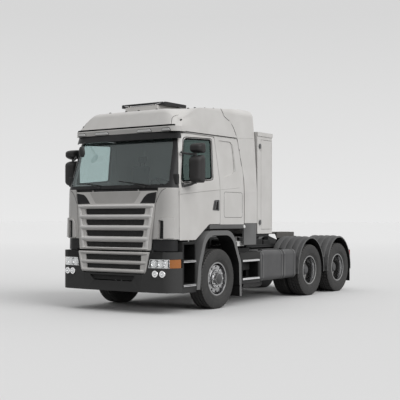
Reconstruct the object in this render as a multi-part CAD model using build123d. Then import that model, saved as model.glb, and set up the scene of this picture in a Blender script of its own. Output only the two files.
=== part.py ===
from build123d import *
import math
import os

# Three-axle tractor unit with a high sleeper cab and twin-tyred drive axles.
# Millimetres. +X is the truck's left, +Y its rear, +Z up. In this file y = 0 is the front axle;
# the export moves the origin to the middle of the truck's length, on the ground.

# Driving dimensions
front_overhang = 1475.0
wheelbase = 3400.0
bogie_spacing = 1310.0
rear_overhang = 740.0
tyre_radius = 525.0
front_tyre_width = 315.0
rear_tyre_width = 300.0
twin_spacing = 345.0
front_wheel_x = 1040.0
outer_twin_x = 1090.0
king_pin_x = 900.0

rail_bottom = 730.0
rail_top = 1000.0
rail_half_width = 430.0
rail_flange = 80.0
rail_plate = 8.0

tank_front = 1430.0
tank_wheel_gap = 585.0
rear_tank_length = 505.0
tank_gap = 20.0
reservoir_x = 700.0
reservoir_z = 315.0

cab_half_width = 1205.0
cab_top_half_width = 1140.0
cab_rear = 860.0
cab_bottom = 1045.0
belt_z = 2080.0
cab_top = 3040.0
front_y_bottom = -1410.0
front_y_belt = -1375.0
front_y_top = -1075.0
front_camber = 30.0
corner_radius = 250.0
wall = 55.0
panel_gap = 8.0
blank_depth = 14.0
floor_top = 1480.0
sill_z = 1215.0

hinge_pin_radius = 4.0
hinge_barrel_radius = 8.0
hinge_length = 66.0
running_gap = 0.05
seat_gap = 0.3

roof_peak = 3615.0
fairing_rear = 1300.0
hatch_z = 3570.0
header_front = -1200.0
header_top = 3128.0
deflector_front = -1172.0
deflector_run = 172.0
hatch_hinge_y = -656.0
hatch_hinge_z = 3585.0

axle_1_y = 0.0
axle_2_y = wheelbase
axle_3_y = wheelbase + bogie_spacing
bogie_y = (axle_2_y + axle_3_y) / 2
overall_length = front_overhang + wheelbase + bogie_spacing + rear_overhang
origin_shift = front_overhang - overall_length / 2
twin_mid_x = outer_twin_x - twin_spacing / 2
inner_twin_x = outer_twin_x - twin_spacing


# Shared forms

def block(x0, x1, y0, y1, z0, z1):
    return Pos((x0 + x1) / 2, (y0 + y1) / 2, (z0 + z1) / 2) * Box(x1 - x0, y1 - y0, z1 - z0)


def corner_edges(points):
    """Edges of a closed outline. Each point is (u, v, radius of the corner there)."""
    count = len(points)
    starts, ends, mids = [], [], []
    for i, (u, v, r) in enumerate(points):
        p = Vector(u, v)
        before = (Vector(*points[i - 1][:2]) - p).normalized()
        after = (Vector(*points[(i + 1) % count][:2]) - p).normalized()
        turn = math.radians(before.get_angle(after))
        if r <= 0 or abs(math.pi - turn) < 1e-3:
            starts.append(p)
            ends.append(p)
            mids.append(None)
            continue
        reach = r / math.tan(turn / 2)
        middle = (before + after).normalized()
        starts.append(p + before * reach)
        ends.append(p + after * reach)
        mids.append(p + middle * (r / math.sin(turn / 2) - r))
    edges = []
    for i in range(count):
        if mids[i] is not None:
            edges.append((starts[i], mids[i], ends[i]))
        a, b = ends[i], starts[(i + 1) % count]
        if (b - a).length > 1e-6:
            edges.append((a, None, b))
    return edges


def outline_face(points, place):
    """A face of a rounded outline; place turns (u, v) into a point in space."""
    edges = []
    for a, m, b in corner_edges([p if len(p) == 3 else (*p, 0) for p in points]):
        if m is None:
            edges.append(Edge.make_line(place(a), place(b)))
        else:
            edges.append(Edge.make_three_point_arc(place(a), place(m), place(b)))
    return Face(Wire(edges))


def side_prism(points, x0, x1):
    """An outline of (y, z) points, run along the truck's width."""
    face = outline_face(points, lambda p: (x0, p.X, p.Y))
    return extrude(face, amount=x1 - x0, dir=(1, 0, 0))


def front_prism(points, y0, y1):
    """An outline of (x, z) points, run along the truck's length."""
    face = outline_face(points, lambda p: (p.X, y0, p.Y))
    return extrude(face, amount=y1 - y0, dir=(0, 1, 0))


def plan_prism(points, z0, z1):
    """An outline of (x, y) points, run upwards."""
    face = outline_face(points, lambda p: (p.X, p.Y, z0))
    return extrude(face, amount=z1 - z0, dir=(0, 0, 1))


def turned(points):
    """An outline of (x along the axle, radius) points, turned about the axle."""
    face = outline_face(points, lambda p: (p.X, 0, p.Y))
    return revolve(face, axis=Axis.X, revolution_arc=360)


def rod(a, b, radius):
    a, b = Vector(*a), Vector(*b)
    plane = Plane(origin=a, z_dir=b - a)
    return extrude(plane * Circle(radius), amount=(b - a).length)


def mirrored(shape):
    return mirror(shape, about=Plane.YZ)


def pair(shape):
    """The left and right copies of a piece as separate solids."""
    return Compound(children=[*shape.solids(), *mirrored(shape).solids()])


def joined(shapes):
    first, *rest = shapes
    for s in rest:
        first = first + s
    return first


def hinge_room(place):
    """The space that a hinge needs in the panels it joins."""
    return place * Cylinder(hinge_barrel_radius + 3, hinge_length + 4)


def hinge_fixed(place, arm):
    """The pin with its two outer barrels; arm runs from the axis to the piece that carries them."""
    third = hinge_length / 3
    barrels = Cylinder(hinge_pin_radius, hinge_length)
    for z in (-third, third):
        barrels += Pos(0, 0, z) * (Cylinder(hinge_barrel_radius, third) + Pos(*arm[:2]) * Box(*arm[2:],
                third))
    return place * barrels


def hinge_moving(place, arm):
    """The middle barrel that turns on the pin."""
    height = hinge_length / 3 - 2
    barrel = Cylinder(hinge_barrel_radius, height) + Pos(*arm[:2]) * Box(*arm[2:], height)
    return place * (barrel - Cylinder(hinge_pin_radius + running_gap, hinge_length))


# Cab skin: plan outlines at three heights, set in by a distance, and lofted

def cab_plan(z, half_width, front_y, inset):
    w = half_width - inset
    r = corner_radius - inset
    f = front_y + inset
    b = cab_rear - inset
    rear_radius = 40.0
    corner_y = f + r
    edges = [
        Edge.make_line((w - rear_radius, b, z), (-w + rear_radius, b, z)),
        Edge.make_three_point_arc((-w + rear_radius, b, z), (-w + rear_radius * 0.2929,
                                                             b - rear_radius * 0.2929, z),
                                                             (-w, b - rear_radius, z)),
        Edge.make_line((-w, b - rear_radius, z), (-w, corner_y, z)),
        Edge.make_three_point_arc((-w, corner_y, z), (-w + r * 0.2929, f + r * 0.2929, z),
                                  (-w + r, f, z)),
        Edge.make_three_point_arc((-w + r, f, z), (0, f - front_camber, z), (w - r, f, z)),
        Edge.make_three_point_arc((w - r, f, z), (w - r * 0.2929, f + r * 0.2929, z), (w, corner_y, z)),
        Edge.make_line((w, corner_y, z), (w, b - rear_radius, z)),
        Edge.make_three_point_arc((w, b - rear_radius, z), (w - rear_radius * 0.2929,
                                                            b - rear_radius * 0.2929, z),
                                                            (w - rear_radius, b, z)),
    ]
    return Face(Wire(edges))


def cab_solid(inset, top=cab_top, bottom=cab_bottom):
    """The cab's outer form, set in on all sides by inset."""
    slope = (top - belt_z) / (cab_top - belt_z)
    rise = (bottom - cab_bottom) / (belt_z - cab_bottom)
    low = cab_plan(bottom, cab_half_width, front_y_bottom + (front_y_belt - front_y_bottom) * rise, inset)
    mid = cab_plan(belt_z, cab_half_width, front_y_belt, inset)
    high = cab_plan(top, cab_half_width + (cab_top_half_width - cab_half_width) * slope,
                    front_y_belt + (front_y_top - front_y_belt) * slope, inset)
    return loft([low, mid], ruled=True) + loft([mid, high], ruled=True)


def cab_skin(outer, inner):
    return cab_solid(outer) - cab_solid(inner)


# Outlines on the cab, as (y, z) on the side and (x, z) on the front

door_front = -1190.0
flap_top = 2055.0
flap_hinge_y = -1383.0
flap_hinge_z = 2060.0
tilt_x = 822.0
tilt_y = -1445.0
tilt_z = 1043.0
tilt_pin_radius = 4.0
door_hinge_x = 1204.0
door_hinge_y = door_front + 6
door_hinge_heights = (1400.0, 2000.0)
cowl_bottom = 2092.0
door_rear = 40.0
door_top = 3020.0
arch_shelf = 1480.0

def door_outline(gap):
    """The door's edge in side view, set in by gap."""
    g = gap
    return [
        (door_front + g, sill_z + g, 20),
        (-720, sill_z + g, 60),
        (-310 + g * 0.5, arch_shelf + g, 120),
        (door_rear - g, arch_shelf + g, 30),
        (door_rear - g, 2280, 0),
        (door_rear - 100 - g, door_top - g, 60),
        (-1035 + g, door_top - g, 20),
        (door_front + g, 2180, 0),
    ]


def window_outline(inset):
    i = inset
    return [
        (-1120 + i, 2185 + i, 40),
        (-175 - i, 2270 + i, 50),
        (-150 - i, 2965 - i, 60),
        (-960 + i, 2935 - i, 90),
    ]


def windscreen_outline(inset):
    i = inset
    return [(-1080 + i, 2150 + i, 70), (1080 - i, 2150 + i, 70), (1010 - i, 2925 - i, 60),
            (-1010 + i, 2925 - i, 60)]


def flap_outline(gap):
    g = gap
    return [
        (-790 + g, cab_bottom + g, 20), (790 - g, cab_bottom + g, 20), (870 - g, 1830, 0),
        (905 - g, flap_top - g, 20),
        (-905 + g, flap_top - g, 20), (-870 + g, 1830, 0),
    ]


# Cab panels

def front_region(gap=0.0):
    """Everything ahead of the doors' front edges, as seen from the side."""
    return side_prism([(-2000, 900), (door_front - gap, 900), (door_front - gap, 2180),
                       (-1035 - gap, door_top), (-1035 - gap, 3100), (-2000, 3100)], -1500, 1500)


def make_cab_front():
    region = front_region()
    deep = cab_skin(30, wall) & region
    pillars = cab_skin(0, 30.2) & region & block(-1500, 1500, -2000, 0, cowl_bottom, 3100)
    shell = deep + pillars
    shell -= front_prism(windscreen_outline(0), -2000, -800)
    shell -= front_prism(flap_outline(0), -2000, -1200)
    firewall = block(-1130, 1130, -1290, -1265, 1310, 2140)
    cowl = block(-1130, 1130, -1330, -1200, 2100, 2140)
    inner = (firewall + cowl) & cab_solid(40)
    front = shell + inner
    for x in (-500, 500):
        front += hinge_fixed(flap_hinge(x), (0, 12, 8, 34))
    eye = block(tilt_x - 10, tilt_x + 10, tilt_y - 7, tilt_y + 75, tilt_z - 7, tilt_z + 20)
    eye -= rod((tilt_x - 20, tilt_y, tilt_z), (tilt_x + 20, tilt_y, tilt_z),
               tilt_pin_radius + running_gap)
    return front + eye + mirrored(eye)


def flap_hinge(x):
    """The flap's hinge axis: local Z lies along the truck's width and local Y points rearwards."""
    return Pos(x, flap_hinge_y, flap_hinge_z) * Rot(0, 90, 0)


def make_corner_panels():
    """The painted quarter panels between the flap and the doors."""
    zone = front_prism([(811, 1240), (871, 1830), (906, flap_top), (908, cowl_bottom - 2),
                        (1400, cowl_bottom - 2), (1400, 1240)], -2000, door_front)
    slot = front_prism([(945, 1250), (1035, 1250), (1030, 1545), (955, 1545)], -2000, -1000)
    panel = (cab_solid(0) & zone) - cab_solid(29.7) - slot
    for z in door_hinge_heights:
        panel = panel - hinge_room(door_hinge(z)) + hinge_fixed(door_hinge(z), (-9, -11, 10, 20))
    return pair(panel)


def door_hinge(z):
    return Pos(door_hinge_x, door_hinge_y, z)


def make_grille_flap():
    face = cab_skin(0, 22) & front_prism(flap_outline(10), -2000, -1250)
    flap = face + (cab_skin(21, 50) & front_prism(flap_outline(28), -2000, -1250))
    for z0, z1, half in ((1650, 1755, 650), (1470, 1570, 635), (1280, 1385, 625), (1095, 1190, 620)):
        flap -= front_prism([(-half, z0, 40), (half, z0, 40), (half + 15, z1, 12), (-half - 15, z1, 12)],
                            -2000, -1200)
    for x in (-500, 500):
        flap += hinge_moving(flap_hinge(x), (13, 0, 26, 9))
    return flap


def make_windscreen():
    return cab_skin(8, 20) & front_prism(windscreen_outline(0.3), -2000, -900)


def make_sun_visor():
    band = cab_skin(-75, -55) & block(-1145, 1145, -2000, -1055, 2920, cab_top)
    shelf = cab_skin(-60, 0) & block(-1145, 1145, -2000, -1055, cab_top - 18, cab_top)
    return band + shelf


def make_door(side):
    door = cab_skin(0, wall) & side_prism(door_outline(panel_gap), 900, 1500)
    door -= side_prism(window_outline(0), 900, 1500)
    for z in door_hinge_heights:
        door = door - hinge_room(door_hinge(z)) + hinge_moving(door_hinge(z), (-9, 12, 10, 22))
    return door if side > 0 else mirrored(door)


def make_door_glass(side):
    glass = cab_skin(22, 28) & side_prism(window_outline(0.3), 900, 1500)
    return glass if side > 0 else mirrored(glass)


def make_cab_sides():
    panel = cab_skin(0, wall) & side_prism(
        [(door_rear + 1, arch_shelf), (cab_rear - wall - 0.5, arch_shelf),
         (cab_rear - wall - 0.5, cab_top), (door_rear - 99, cab_top),
         (door_rear - 99, door_top + 1), (door_rear + 1, 2280)], 900, 1500)
    cant_rail = cab_skin(0, wall) & block(900, 1500, -1034, door_rear - 98, door_top + 1, cab_top)
    panel -= cab_skin(-1, blank_depth) & side_prism([(75, 2290, 90), (560, 2400, 150), (510, 2965, 90),
                                                     (60, 2965, 40)], 900, 1500)
    return pair((panel + cant_rail) - fairing_zone())


def make_cab_back_wall():
    return (cab_solid(0) & block(-1500, 1500, cab_rear - wall, 1200, arch_shelf,
                                 cab_top)) - fairing_zone()


def make_cab_floor():
    slab = block(-1150, 1150, -1265 + seat_gap, cab_rear - wall - 1, 1400, floor_top)
    wells = block(450, 1150, -1264, -720, sill_z, floor_top)
    wells += block(-1150, -450, -1264, -720, sill_z, floor_top)
    hollow = block(500, 1151, -1230, -770, sill_z + 60, floor_top + 1) + block(-1151, -500, -1230, -770,
            sill_z + 60, floor_top + 1)
    floor = (slab + wells - hollow) & cab_solid(wall + 1, bottom=sill_z - 10)
    skirt = block(1146, cab_half_width - 2, -290, cab_rear, 1405, arch_shelf - seat_gap)
    rear_skirt = block(1165, cab_half_width - 2, cab_rear, 1270, 1100, 1495)
    rear_skirt += block(1165, cab_half_width - 2, 835, cab_rear, 1100, arch_shelf - seat_gap)
    skirts = skirt + rear_skirt
    return floor + skirts + mirrored(skirts)


# Roof and rear fairing

def roof_form(inset, bottom):
    """The roof and fairing as one form, with its front corners rounded along the slope."""
    i = inset
    step_z = header_top - i * 0.2
    side = side_prism([
        (-1180 + i, bottom), (header_front + i, step_z - 6, 10), (deflector_front + i, step_z),
        (deflector_front + deflector_run + i, 3450 - i, 160), (200, 3545 - i), (1000, roof_peak - i),
        (fairing_rear + 1, roof_peak - i), (fairing_rear + 1, bottom)], -1300, 1300)
    front = front_prism([
        (-cab_half_width + i, 1050), (cab_half_width - i, 1050), (cab_half_width - i, belt_z),
        (cab_top_half_width + 8 - i, 3060), (1095 - i, roof_peak + 10 - i, 160),
        (-1095 + i, roof_peak + 10 - i, 160),
        (-cab_top_half_width - 8 + i, 3060), (-cab_half_width + i, belt_z)], -1500, 1500)
    header = plan_prism(roof_plan(i, header_front - 2), 1000, step_z)
    slope = (0, deflector_run, 3450 - header_top)
    start = outline_face(roof_plan(i, deflector_front - 2), lambda p: (p.X, p.Y, step_z))
    return side & front & (header + extrude(start, amount=720, dir=slope))


def roof_plan(inset, front):
    wide, narrow = cab_half_width - inset, cab_top_half_width + 12 - inset
    nose = front + inset
    return [
        (-narrow, nose, 210), (narrow, nose, 210), (narrow, nose + 300), (wide, 300),
        (wide, fairing_rear + 2),
        (-wide, fairing_rear + 2), (-wide, 300), (-narrow, nose + 300)]


def seam(shift):
    """The fairing's leading edge in side view."""
    s = shift
    return [(180 + s, 3700), (300 + s, 3400, 60), (500 + s, 3340, 120), (690 + s, 3050, 200),
            (cab_rear + 2 + s * 0.2, 2300, 0),
            (cab_rear + 2 + s * 0.2, 1000)]


def make_cab_roof():
    shell = roof_form(0, cab_top) - roof_form(45, cab_top - 50)
    ahead = side_prism([(-2000, cab_top), (-2000, 3700), *seam(0)[:4], (690, cab_top)], -1400, 1400)
    coaming = block(-360, 360, -675, -20, 3400, hatch_z - seat_gap)
    roof = (shell & ahead) + (coaming - roof_form(40, cab_top - 50))
    roof -= block(-300, 300, -560, -70, 3300, 3700)
    for x in (-280, 280):
        roof += hinge_fixed(hatch_hinge(x), (10, 0, 20, 8))
    return roof


def behind_seam(shift):
    outline = [*seam(shift)[:5], (cab_rear + shift, 1500), (1400, 1500), (1400, 3700)]
    return side_prism(outline, -1400, 1400)


def fairing_zone():
    """What the cab's walls leave free for the fairing's side panels."""
    return behind_seam(0) - roof_form(28 + seat_gap, 1400)


def make_rear_fairing():
    return (roof_form(0, 1500) & behind_seam(4)) - roof_form(28, 1400)


def hatch_hinge(x):
    """The roof hatch's hinge axis, ahead of its front edge."""
    return Pos(x, hatch_hinge_y, hatch_hinge_z) * Rot(0, 90, 0)


def make_roof_hatch():
    hatch = fillet(block(-500, 500, -640, 40, hatch_z, hatch_z + 55).edges().filter_by(Axis.Z), 60)
    for x in (-280, 280):
        hatch += hinge_moving(hatch_hinge(x), (0, 14, 8, 28))
    return hatch


# Cab interior and fittings

def make_dashboard():
    dash = side_prism([(-1265 + seat_gap, 1800), (-1265 + seat_gap, 2090, 10), (-1010, 2095, 60),
                       (-900, 2030, 60), (-880, 1850, 60), (-980, 1780, 40)], -1100, 1100)
    dash = dash & cab_solid(wall + 6)
    return dash + (steering_place() * Pos(0, 0, -175) * Cylinder(35, 250 - 2 * seat_gap))


def make_seats():
    cushion = block(350, 850, -480, 20, 1800, 1930)
    back = side_prism([(-30, 1860), (80, 1860), (150, 2600, 40), (60, 2620, 40)], 370, 830)
    base = block(430, 770, -400, -40, floor_top + 0.3, 1800)
    head = block(480, 720, 90, 170, 2600, 2780)
    seat = cushion + back + base + head
    bunk = block(-1080, 1080, 200, 790, floor_top + 0.3, 1960)
    return Compound(children=[*seat.solids(), *mirrored(seat).solids(), *bunk.solids()])


def steering_place():
    """The steering wheel's centre, with local Z along the column towards the driver."""
    return Pos(550, -745, 2150) * Rot(-32, 0, 0)


def make_steering_wheel():
    ring = Torus(225, 16)
    hub = Pos(0, 0, -30) * Cylinder(60, 40)
    spokes = Box(440, 40, 14) + Pos(0, -110, 0) * Box(40, 220, 14)
    wheel = ring + Pos(0, 0, -10) * spokes + hub
    return steering_place() * wheel


def make_mirror(side):
    main = Pos(1440, -935, 2410) * Box(150, 130, 460)
    main = fillet(main.edges(), 28)
    small = Pos(1440, -935, 2755) * Box(150, 150, 170)
    small = fillet(small.edges(), 28)
    arm_top = rod((1150, -1070, 2690), (1400, -960, 2690), 18)
    arm_low = rod((1190, -1110, 2150), (1400, -960, 2200), 18)
    stem = rod((1440, -950, 2180), (1440, -950, 2700), 20)
    foot = rod((1185, -1110, 2130), (1185, -1110, 2190), 24)
    m = main + small + arm_top + arm_low + stem + foot
    m = m - cab_solid(-0.3)
    m = max(m.solids(), key=lambda s: s.volume)
    return m if side > 0 else mirrored(m)


# Wheels

def tyre_ring(width):
    h = width / 2
    r = tyre_radius
    bead = 118.0 * width / front_tyre_width
    bead_r = 286.0
    outer = [(-h * 0.86, r), (h * 0.86, r), (h, r - 110), (bead, bead_r + 13), (bead, bead_r)]
    inner = [(bead - 24, bead_r), (h - 26, r - 125), (-h + 26, r - 125), (-bead + 24, bead_r)]
    left = [(-bead, bead_r), (-bead, bead_r + 13), (-h, r - 110)]
    return turned([*outer, *inner, *left])


def rim_barrel(width):
    bead = 118.0 * width / front_tyre_width
    r = 285.7
    return turned([(-bead - 10, r - 14), (bead + 10, r - 14), (bead + 10, r + 12), (bead + 0.4, r + 12),
                   (bead + 0.4, r), (-bead - 0.4, r),
                   (-bead - 0.4, r + 12), (-bead - 10, r + 12)])


def hand_holes(x, radius_at, radius, depth):
    holes = [Pos(x, radius_at * math.cos(a), radius_at * math.sin(a)) * Rot(0, 90, 0) * Cylinder(radius,
            depth)
             for a in (math.radians(36 * k + 18) for k in range(10))]
    return Compound(children=holes)


stub_radius = 40.0
spindle_radius = 60.0

def make_front_rim():
    bore = stub_radius + running_gap
    disc = turned([(30, 280), (95, 240), (100, 176), (128, 172), (128, 112), (168, 100), (168, 0),
                   (120, 0), (120, bore), (-40, bore),
                   (-40, 205), (40, 205), (85, 170), (85, 230), (15, 276)])
    wheel = disc + rim_barrel(front_tyre_width)
    return wheel - hand_holes(70, 225, 23, 120)


def make_rear_rim():
    bore = spindle_radius + running_gap
    outer = Pos(outer_twin_x - twin_mid_x, 0, 0) * rim_barrel(rear_tyre_width)
    inner = Pos(inner_twin_x - twin_mid_x, 0, 0) * rim_barrel(rear_tyre_width)
    dish = turned([(190, 0), (190, 105), (150, 120), (14, 150), (14, 212), (74, 250), (95, 278),
                   (80, 278), (62, 264), (0, 224), (-62, 264),
                   (-80, 278), (-95, 278), (-74, 250), (-14, 212), (-14, 205), (-330, 205), (-330, bore),
                   (100, bore), (100, 0)])
    wheel = dish + outer + inner
    return wheel - hand_holes(0, 232, 22, 140)


# Running gear

def make_front_axle():
    beam = front_prism([(-880, 478), (-660, 440, 60), (-520, 350, 60), (520, 350, 60), (660, 440, 60),
                        (880, 478), (880, 572), (630, 540, 60),
                        (500, 455, 60), (-500, 455, 60), (-630, 540, 60), (-880, 572)], -45, 45)
    eye = Pos(king_pin_x, 0, 525) * Cylinder(50, 106)
    spring = side_prism([(-850, 660), (-430, 552, 400), (0, 500, 400), (430, 552, 400), (850, 660),
                         (850, 690), (430, 590, 400), (0, 560, 400),
                         (-430, 590, 400), (-850, 690)], 352, 438)
    pad = block(350, 440, -70, 70, 450, 505)
    hangers = block(352, 438, -880, -820, 655, rail_bottom) + block(352, 438, 820, 880, 655, rail_bottom)
    half = eye + spring + pad + hangers
    axle = beam + half + mirrored(half)
    bore = Pos(king_pin_x, 0, 525) * Cylinder(25 + running_gap, 400)
    return axle - bore - mirrored(bore)


arm_x = king_pin_x
arm_y = 190.0

def make_knuckle(side):
    pin = Pos(king_pin_x, 0, 525) * Cylinder(25, 200)
    top = block(king_pin_x - 45, 985, -45, 45, 584, 625)
    low = block(king_pin_x - 45, 985, -45, 45, 421, 462)
    web = block(955, 985, -45, 45, 421, 625)
    stub = rod((970, 0, 525), (1150, 0, 525), stub_radius)
    arm = plan_prism([(king_pin_x - 40, 0), (king_pin_x + 30, 0), (arm_x + 25, arm_y + 25, 22),
                      (arm_x - 25, arm_y + 25, 22)], 436, 462)
    ball = rod((arm_x, arm_y, 385), (arm_x, arm_y, 450), 15)
    k = pin + top + low + web + stub + arm + ball
    return k if side > 0 else mirrored(k)


def make_tie_rod():
    bar = rod((-arm_x, arm_y, 408), (arm_x, arm_y, 408), 17)
    eye = Pos(arm_x, arm_y, 408) * Cylinder(28, 40)
    hole = Pos(arm_x, arm_y, 408) * Cylinder(15 + running_gap, 60)
    return bar + eye + mirrored(eye) - hole - mirrored(hole)


gearbox_rear = 1150.0
nose_reach = 360.0


def make_rear_bogie():
    parts = []
    for y in (axle_2_y, axle_3_y):
        parts.append(rod((-560, y, 525), (560, y, 525), 78))
        parts.append(rod((-(twin_mid_x + 95), y, 525), (twin_mid_x + 95, y, 525), spindle_radius))
        parts.append(rod((-150, y, 525), (150, y, 525), 225))
        parts.append(rod((0, y - nose_reach, 560), (0, y, 560), 90))
    spring = side_prism([(axle_2_y - 110, 640), (bogie_y, 590, 500), (axle_3_y + 110, 640),
                         (axle_3_y + 110, 675), (bogie_y, 690, 500), (axle_2_y - 110, 675)], 352, 438)
    saddle = block(345, 445, bogie_y - 160, bogie_y + 160, 560, rail_bottom)
    pads = block(352, 438, axle_2_y - 60, axle_2_y + 60, 560, 650) + block(352, 438, axle_3_y - 60,
            axle_3_y + 60, 560, 650)
    half = spring + saddle + pads
    return joined([*parts, half, mirrored(half)])


def make_chassis_frame():
    o, i, f = rail_half_width, rail_half_width - rail_plate, rail_half_width - rail_flange
    section = [(o, rail_bottom), (o, rail_top), (f, rail_top), (f, rail_top - rail_plate),
               (i, rail_top - rail_plate),
               (i, rail_bottom + rail_plate), (f, rail_bottom + rail_plate), (f, rail_bottom)]
    rail = front_prism(section, -1150, axle_3_y + 690)
    frame = rail + mirrored(rail)
    for y in (1300, 2450, 3000, bogie_y):
        frame += block(-i - 1, i + 1, y - 40, y + 40, 870, 985)
    frame += block(-i - 1, i + 1, axle_3_y + 630, axle_3_y + 680, 750, 985)
    frame += block(-i - 1, i + 1, -1140, -1080, 740, 900)
    mount = block(350, rail_half_width, 700, 790, rail_top, 1400 - seat_gap)
    return frame + mount + mirrored(mount)


def make_engine_block():
    web = rail_half_width - rail_plate
    engine = block(-330, 330, -1000, 300, 610, 1230) + block(-web, web, -460, -380, 770, 830)
    gearbox = block(-200, 200, 320, gearbox_rear, 650, 980) + block(-web, web, 820, 900, 790, 840)
    radiator = block(-415, 415, -1260, -1180, 815, 1300) + block(-340, 340, -1180, -1140, 830, 870)
    return Compound(children=[engine.solid(), gearbox.solid(), radiator.solid()])


def make_propshafts():
    """Each shaft runs between two ball-shaped joints that meet the boxes at its ends."""
    shafts = []
    for start, start_z, end, end_z, ball in ((gearbox_rear, 800, axle_2_y - nose_reach, 560, 60),
                                             (axle_2_y + 224, 545, axle_3_y - nose_reach, 560, 46)):
        first = (0, start + ball + seat_gap, start_z)
        last = (0, end - ball - seat_gap, end_z)
        shafts.append(rod(first, last, ball * 0.8) + Pos(*first) * Sphere(ball) + Pos(*last) * Sphere(ball))
    return Compound(children=[s.solid() for s in shafts])


def rounded_bar(x0, x1, y0, y1, z0, z1, r):
    return front_prism([(x0, z0, r), (x1, z0, r), (x1, z1, r), (x0, z1, r)], y0, y1)


def tank(y0, y1, straps):
    """A fuel tank with its straps and the brackets that hang it on the rail."""
    body = rounded_bar(480, 1205, y0, y1, 400, 970, 90)
    for y in straps:
        body += rounded_bar(474, 1211, y, y + 45, 394, 976, 96)
        body += block(rail_half_width, 500, y, y + 45, 740, 960)
    return body


def make_tanks():
    rear_end = wheelbase - tank_wheel_gap
    rear_start = rear_end - rear_tank_length
    main_end = rear_start - tank_gap
    main = tank(tank_front, main_end, (tank_front + 70, main_end - 60))
    rear = tank(rear_start, rear_end, (rear_start + 25, rear_end - 75))
    main += rod((reservoir_x, tank_front + 70, reservoir_z), (reservoir_x, main_end - 90, reservoir_z), 80)
    for y in (tank_front + 190, main_end - 210):
        main += block(reservoir_x - 50, reservoir_x + 50, y - 20, y + 20, reservoir_z, 410)
    return pair(Compound(children=[main.solid(), rear.solid()]))


def front_guard_outer(x0, x1):
    return side_prism([(-740, 380), (-690, 780, 200), (-480, 1375, 330), (400, 1375, 330),
                       (680, 780, 200), (690, 180), (600, 180),
                       (630, 380), (-680, 380)], x0, x1)


def make_steps():
    entry = block(860, 1235, -1140, -750, 345, 1195)
    entry -= block(930, 1300, -1100, -790, 500, 850)
    entry -= block(930, 1300, -1100, -790, 900, 1150)
    for z in (470, 870):
        entry += rod((1235, -1130, z), (1235, -760, z), 18)
    entry += block(rail_half_width, 870, -1100, -1040, 750, 810)
    entry += block(960, 1200, -760, -680, 600, 700) - front_guard_outer(900, 1300)
    rear = block(900, 1205, 700, 1420, 390, 960)
    rear -= block(1000, 1300, 790, 1330, 500, 780)
    rear += rod((1205, 760, 475), (1205, 1370, 475), 20) + rod((1205, 760, 810), (1205, 1370, 810), 20)
    rear += block(rail_half_width, 910, 1060, 1120, 800, 860)
    rear += block(960, 1200, 670, 710, 600, 700) - front_guard_outer(900, 1300)
    return pair(Compound(children=[max(entry.solids(), key=lambda k: k.volume),
                                   max(rear.solids(), key=lambda k: k.volume)]))


def make_front_mudguards():
    inner = side_prism([(-670, 100), (-600, 780, 200), (-420, 1290, 300), (360, 1290, 300),
                        (600, 780, 200), (630, 100)], 900, 1300)
    return pair(front_guard_outer(950, 1245) - inner)


arch_half = 572.0
arch_height = 672.0
arch_wall = 20.0
guard_arm_z = 755.0

def arch(y, inset, x0, x1):
    """An elliptical cylinder about an axle."""
    return Pos(x0, y, tyre_radius) * Rot(0, 90, 0) * extrude(Ellipse(arch_height - inset,
                                                                     arch_half - inset), amount=x1 - x0)


def make_rear_mudguards():
    """Both arches of a side, with the flap and the arms that carry them on the rail."""
    guard = None
    for y in (axle_2_y, axle_3_y):
        piece = (arch(y, 0, 600, 1260) - arch(y, arch_wall, 590, 1270)) & block(500, 1400, y - 800,
                y + 800, 470, 1400)
        guard = piece if guard is None else guard + piece
    reach = arch_half * math.sqrt(1 - ((guard_arm_z - tyre_radius) / arch_height) ** 2) - 6
    arm_top = guard_arm_z + 20
    arm_bottom = guard_arm_z - 20
    arms = block(rail_half_width, 1000, axle_2_y - reach - 35, axle_2_y - reach, arm_bottom, arm_top)
    arms += block(rail_half_width, 1000, axle_2_y + reach, axle_3_y - reach, arm_bottom, arm_top)
    arms += block(rail_half_width, 1170, axle_3_y + reach, lamp_front, arm_bottom, arm_top)
    flap = block(620, 1240, axle_3_y + reach + 30, axle_3_y + reach + 42, 200, arm_top)
    return pair(guard + arms + flap)


lamp_front = axle_3_y + 620

def make_tail_lamps():
    lamp = block(900, 1180, lamp_front, axle_3_y + rear_overhang, 590, 890)
    return pair(lamp)


# Front end

def bumper_plan(inset, half, front, side_y, r):
    i = inset
    return [(-half + i, side_y), (-half + i, front + i + 60, r - i), (-600, front + i), (600, front + i),
            (half - i, front + i + 60, r - i),
            (half - i, side_y)]


bumper_half = 1240.0

def bumper_solid(inset, z0, z1):
    return plan_prism(bumper_plan(inset, bumper_half, -front_overhang, -1150, 230), z0, z1)


def lamp_window(gap):
    return front_prism([(758 + gap, 765 + gap), (1400, 765 + gap), (1400, 912 - gap),
                        (792 + gap, 912 - gap)], -1600, -1100)


def grille_window(gap):
    g = gap
    return front_prism([(-715 + g, 655 + g, 90), (715 - g, 655 + g, 90), (812 - g, 1100),
                        (-812 + g, 1100)], -1600, -1100)


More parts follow.
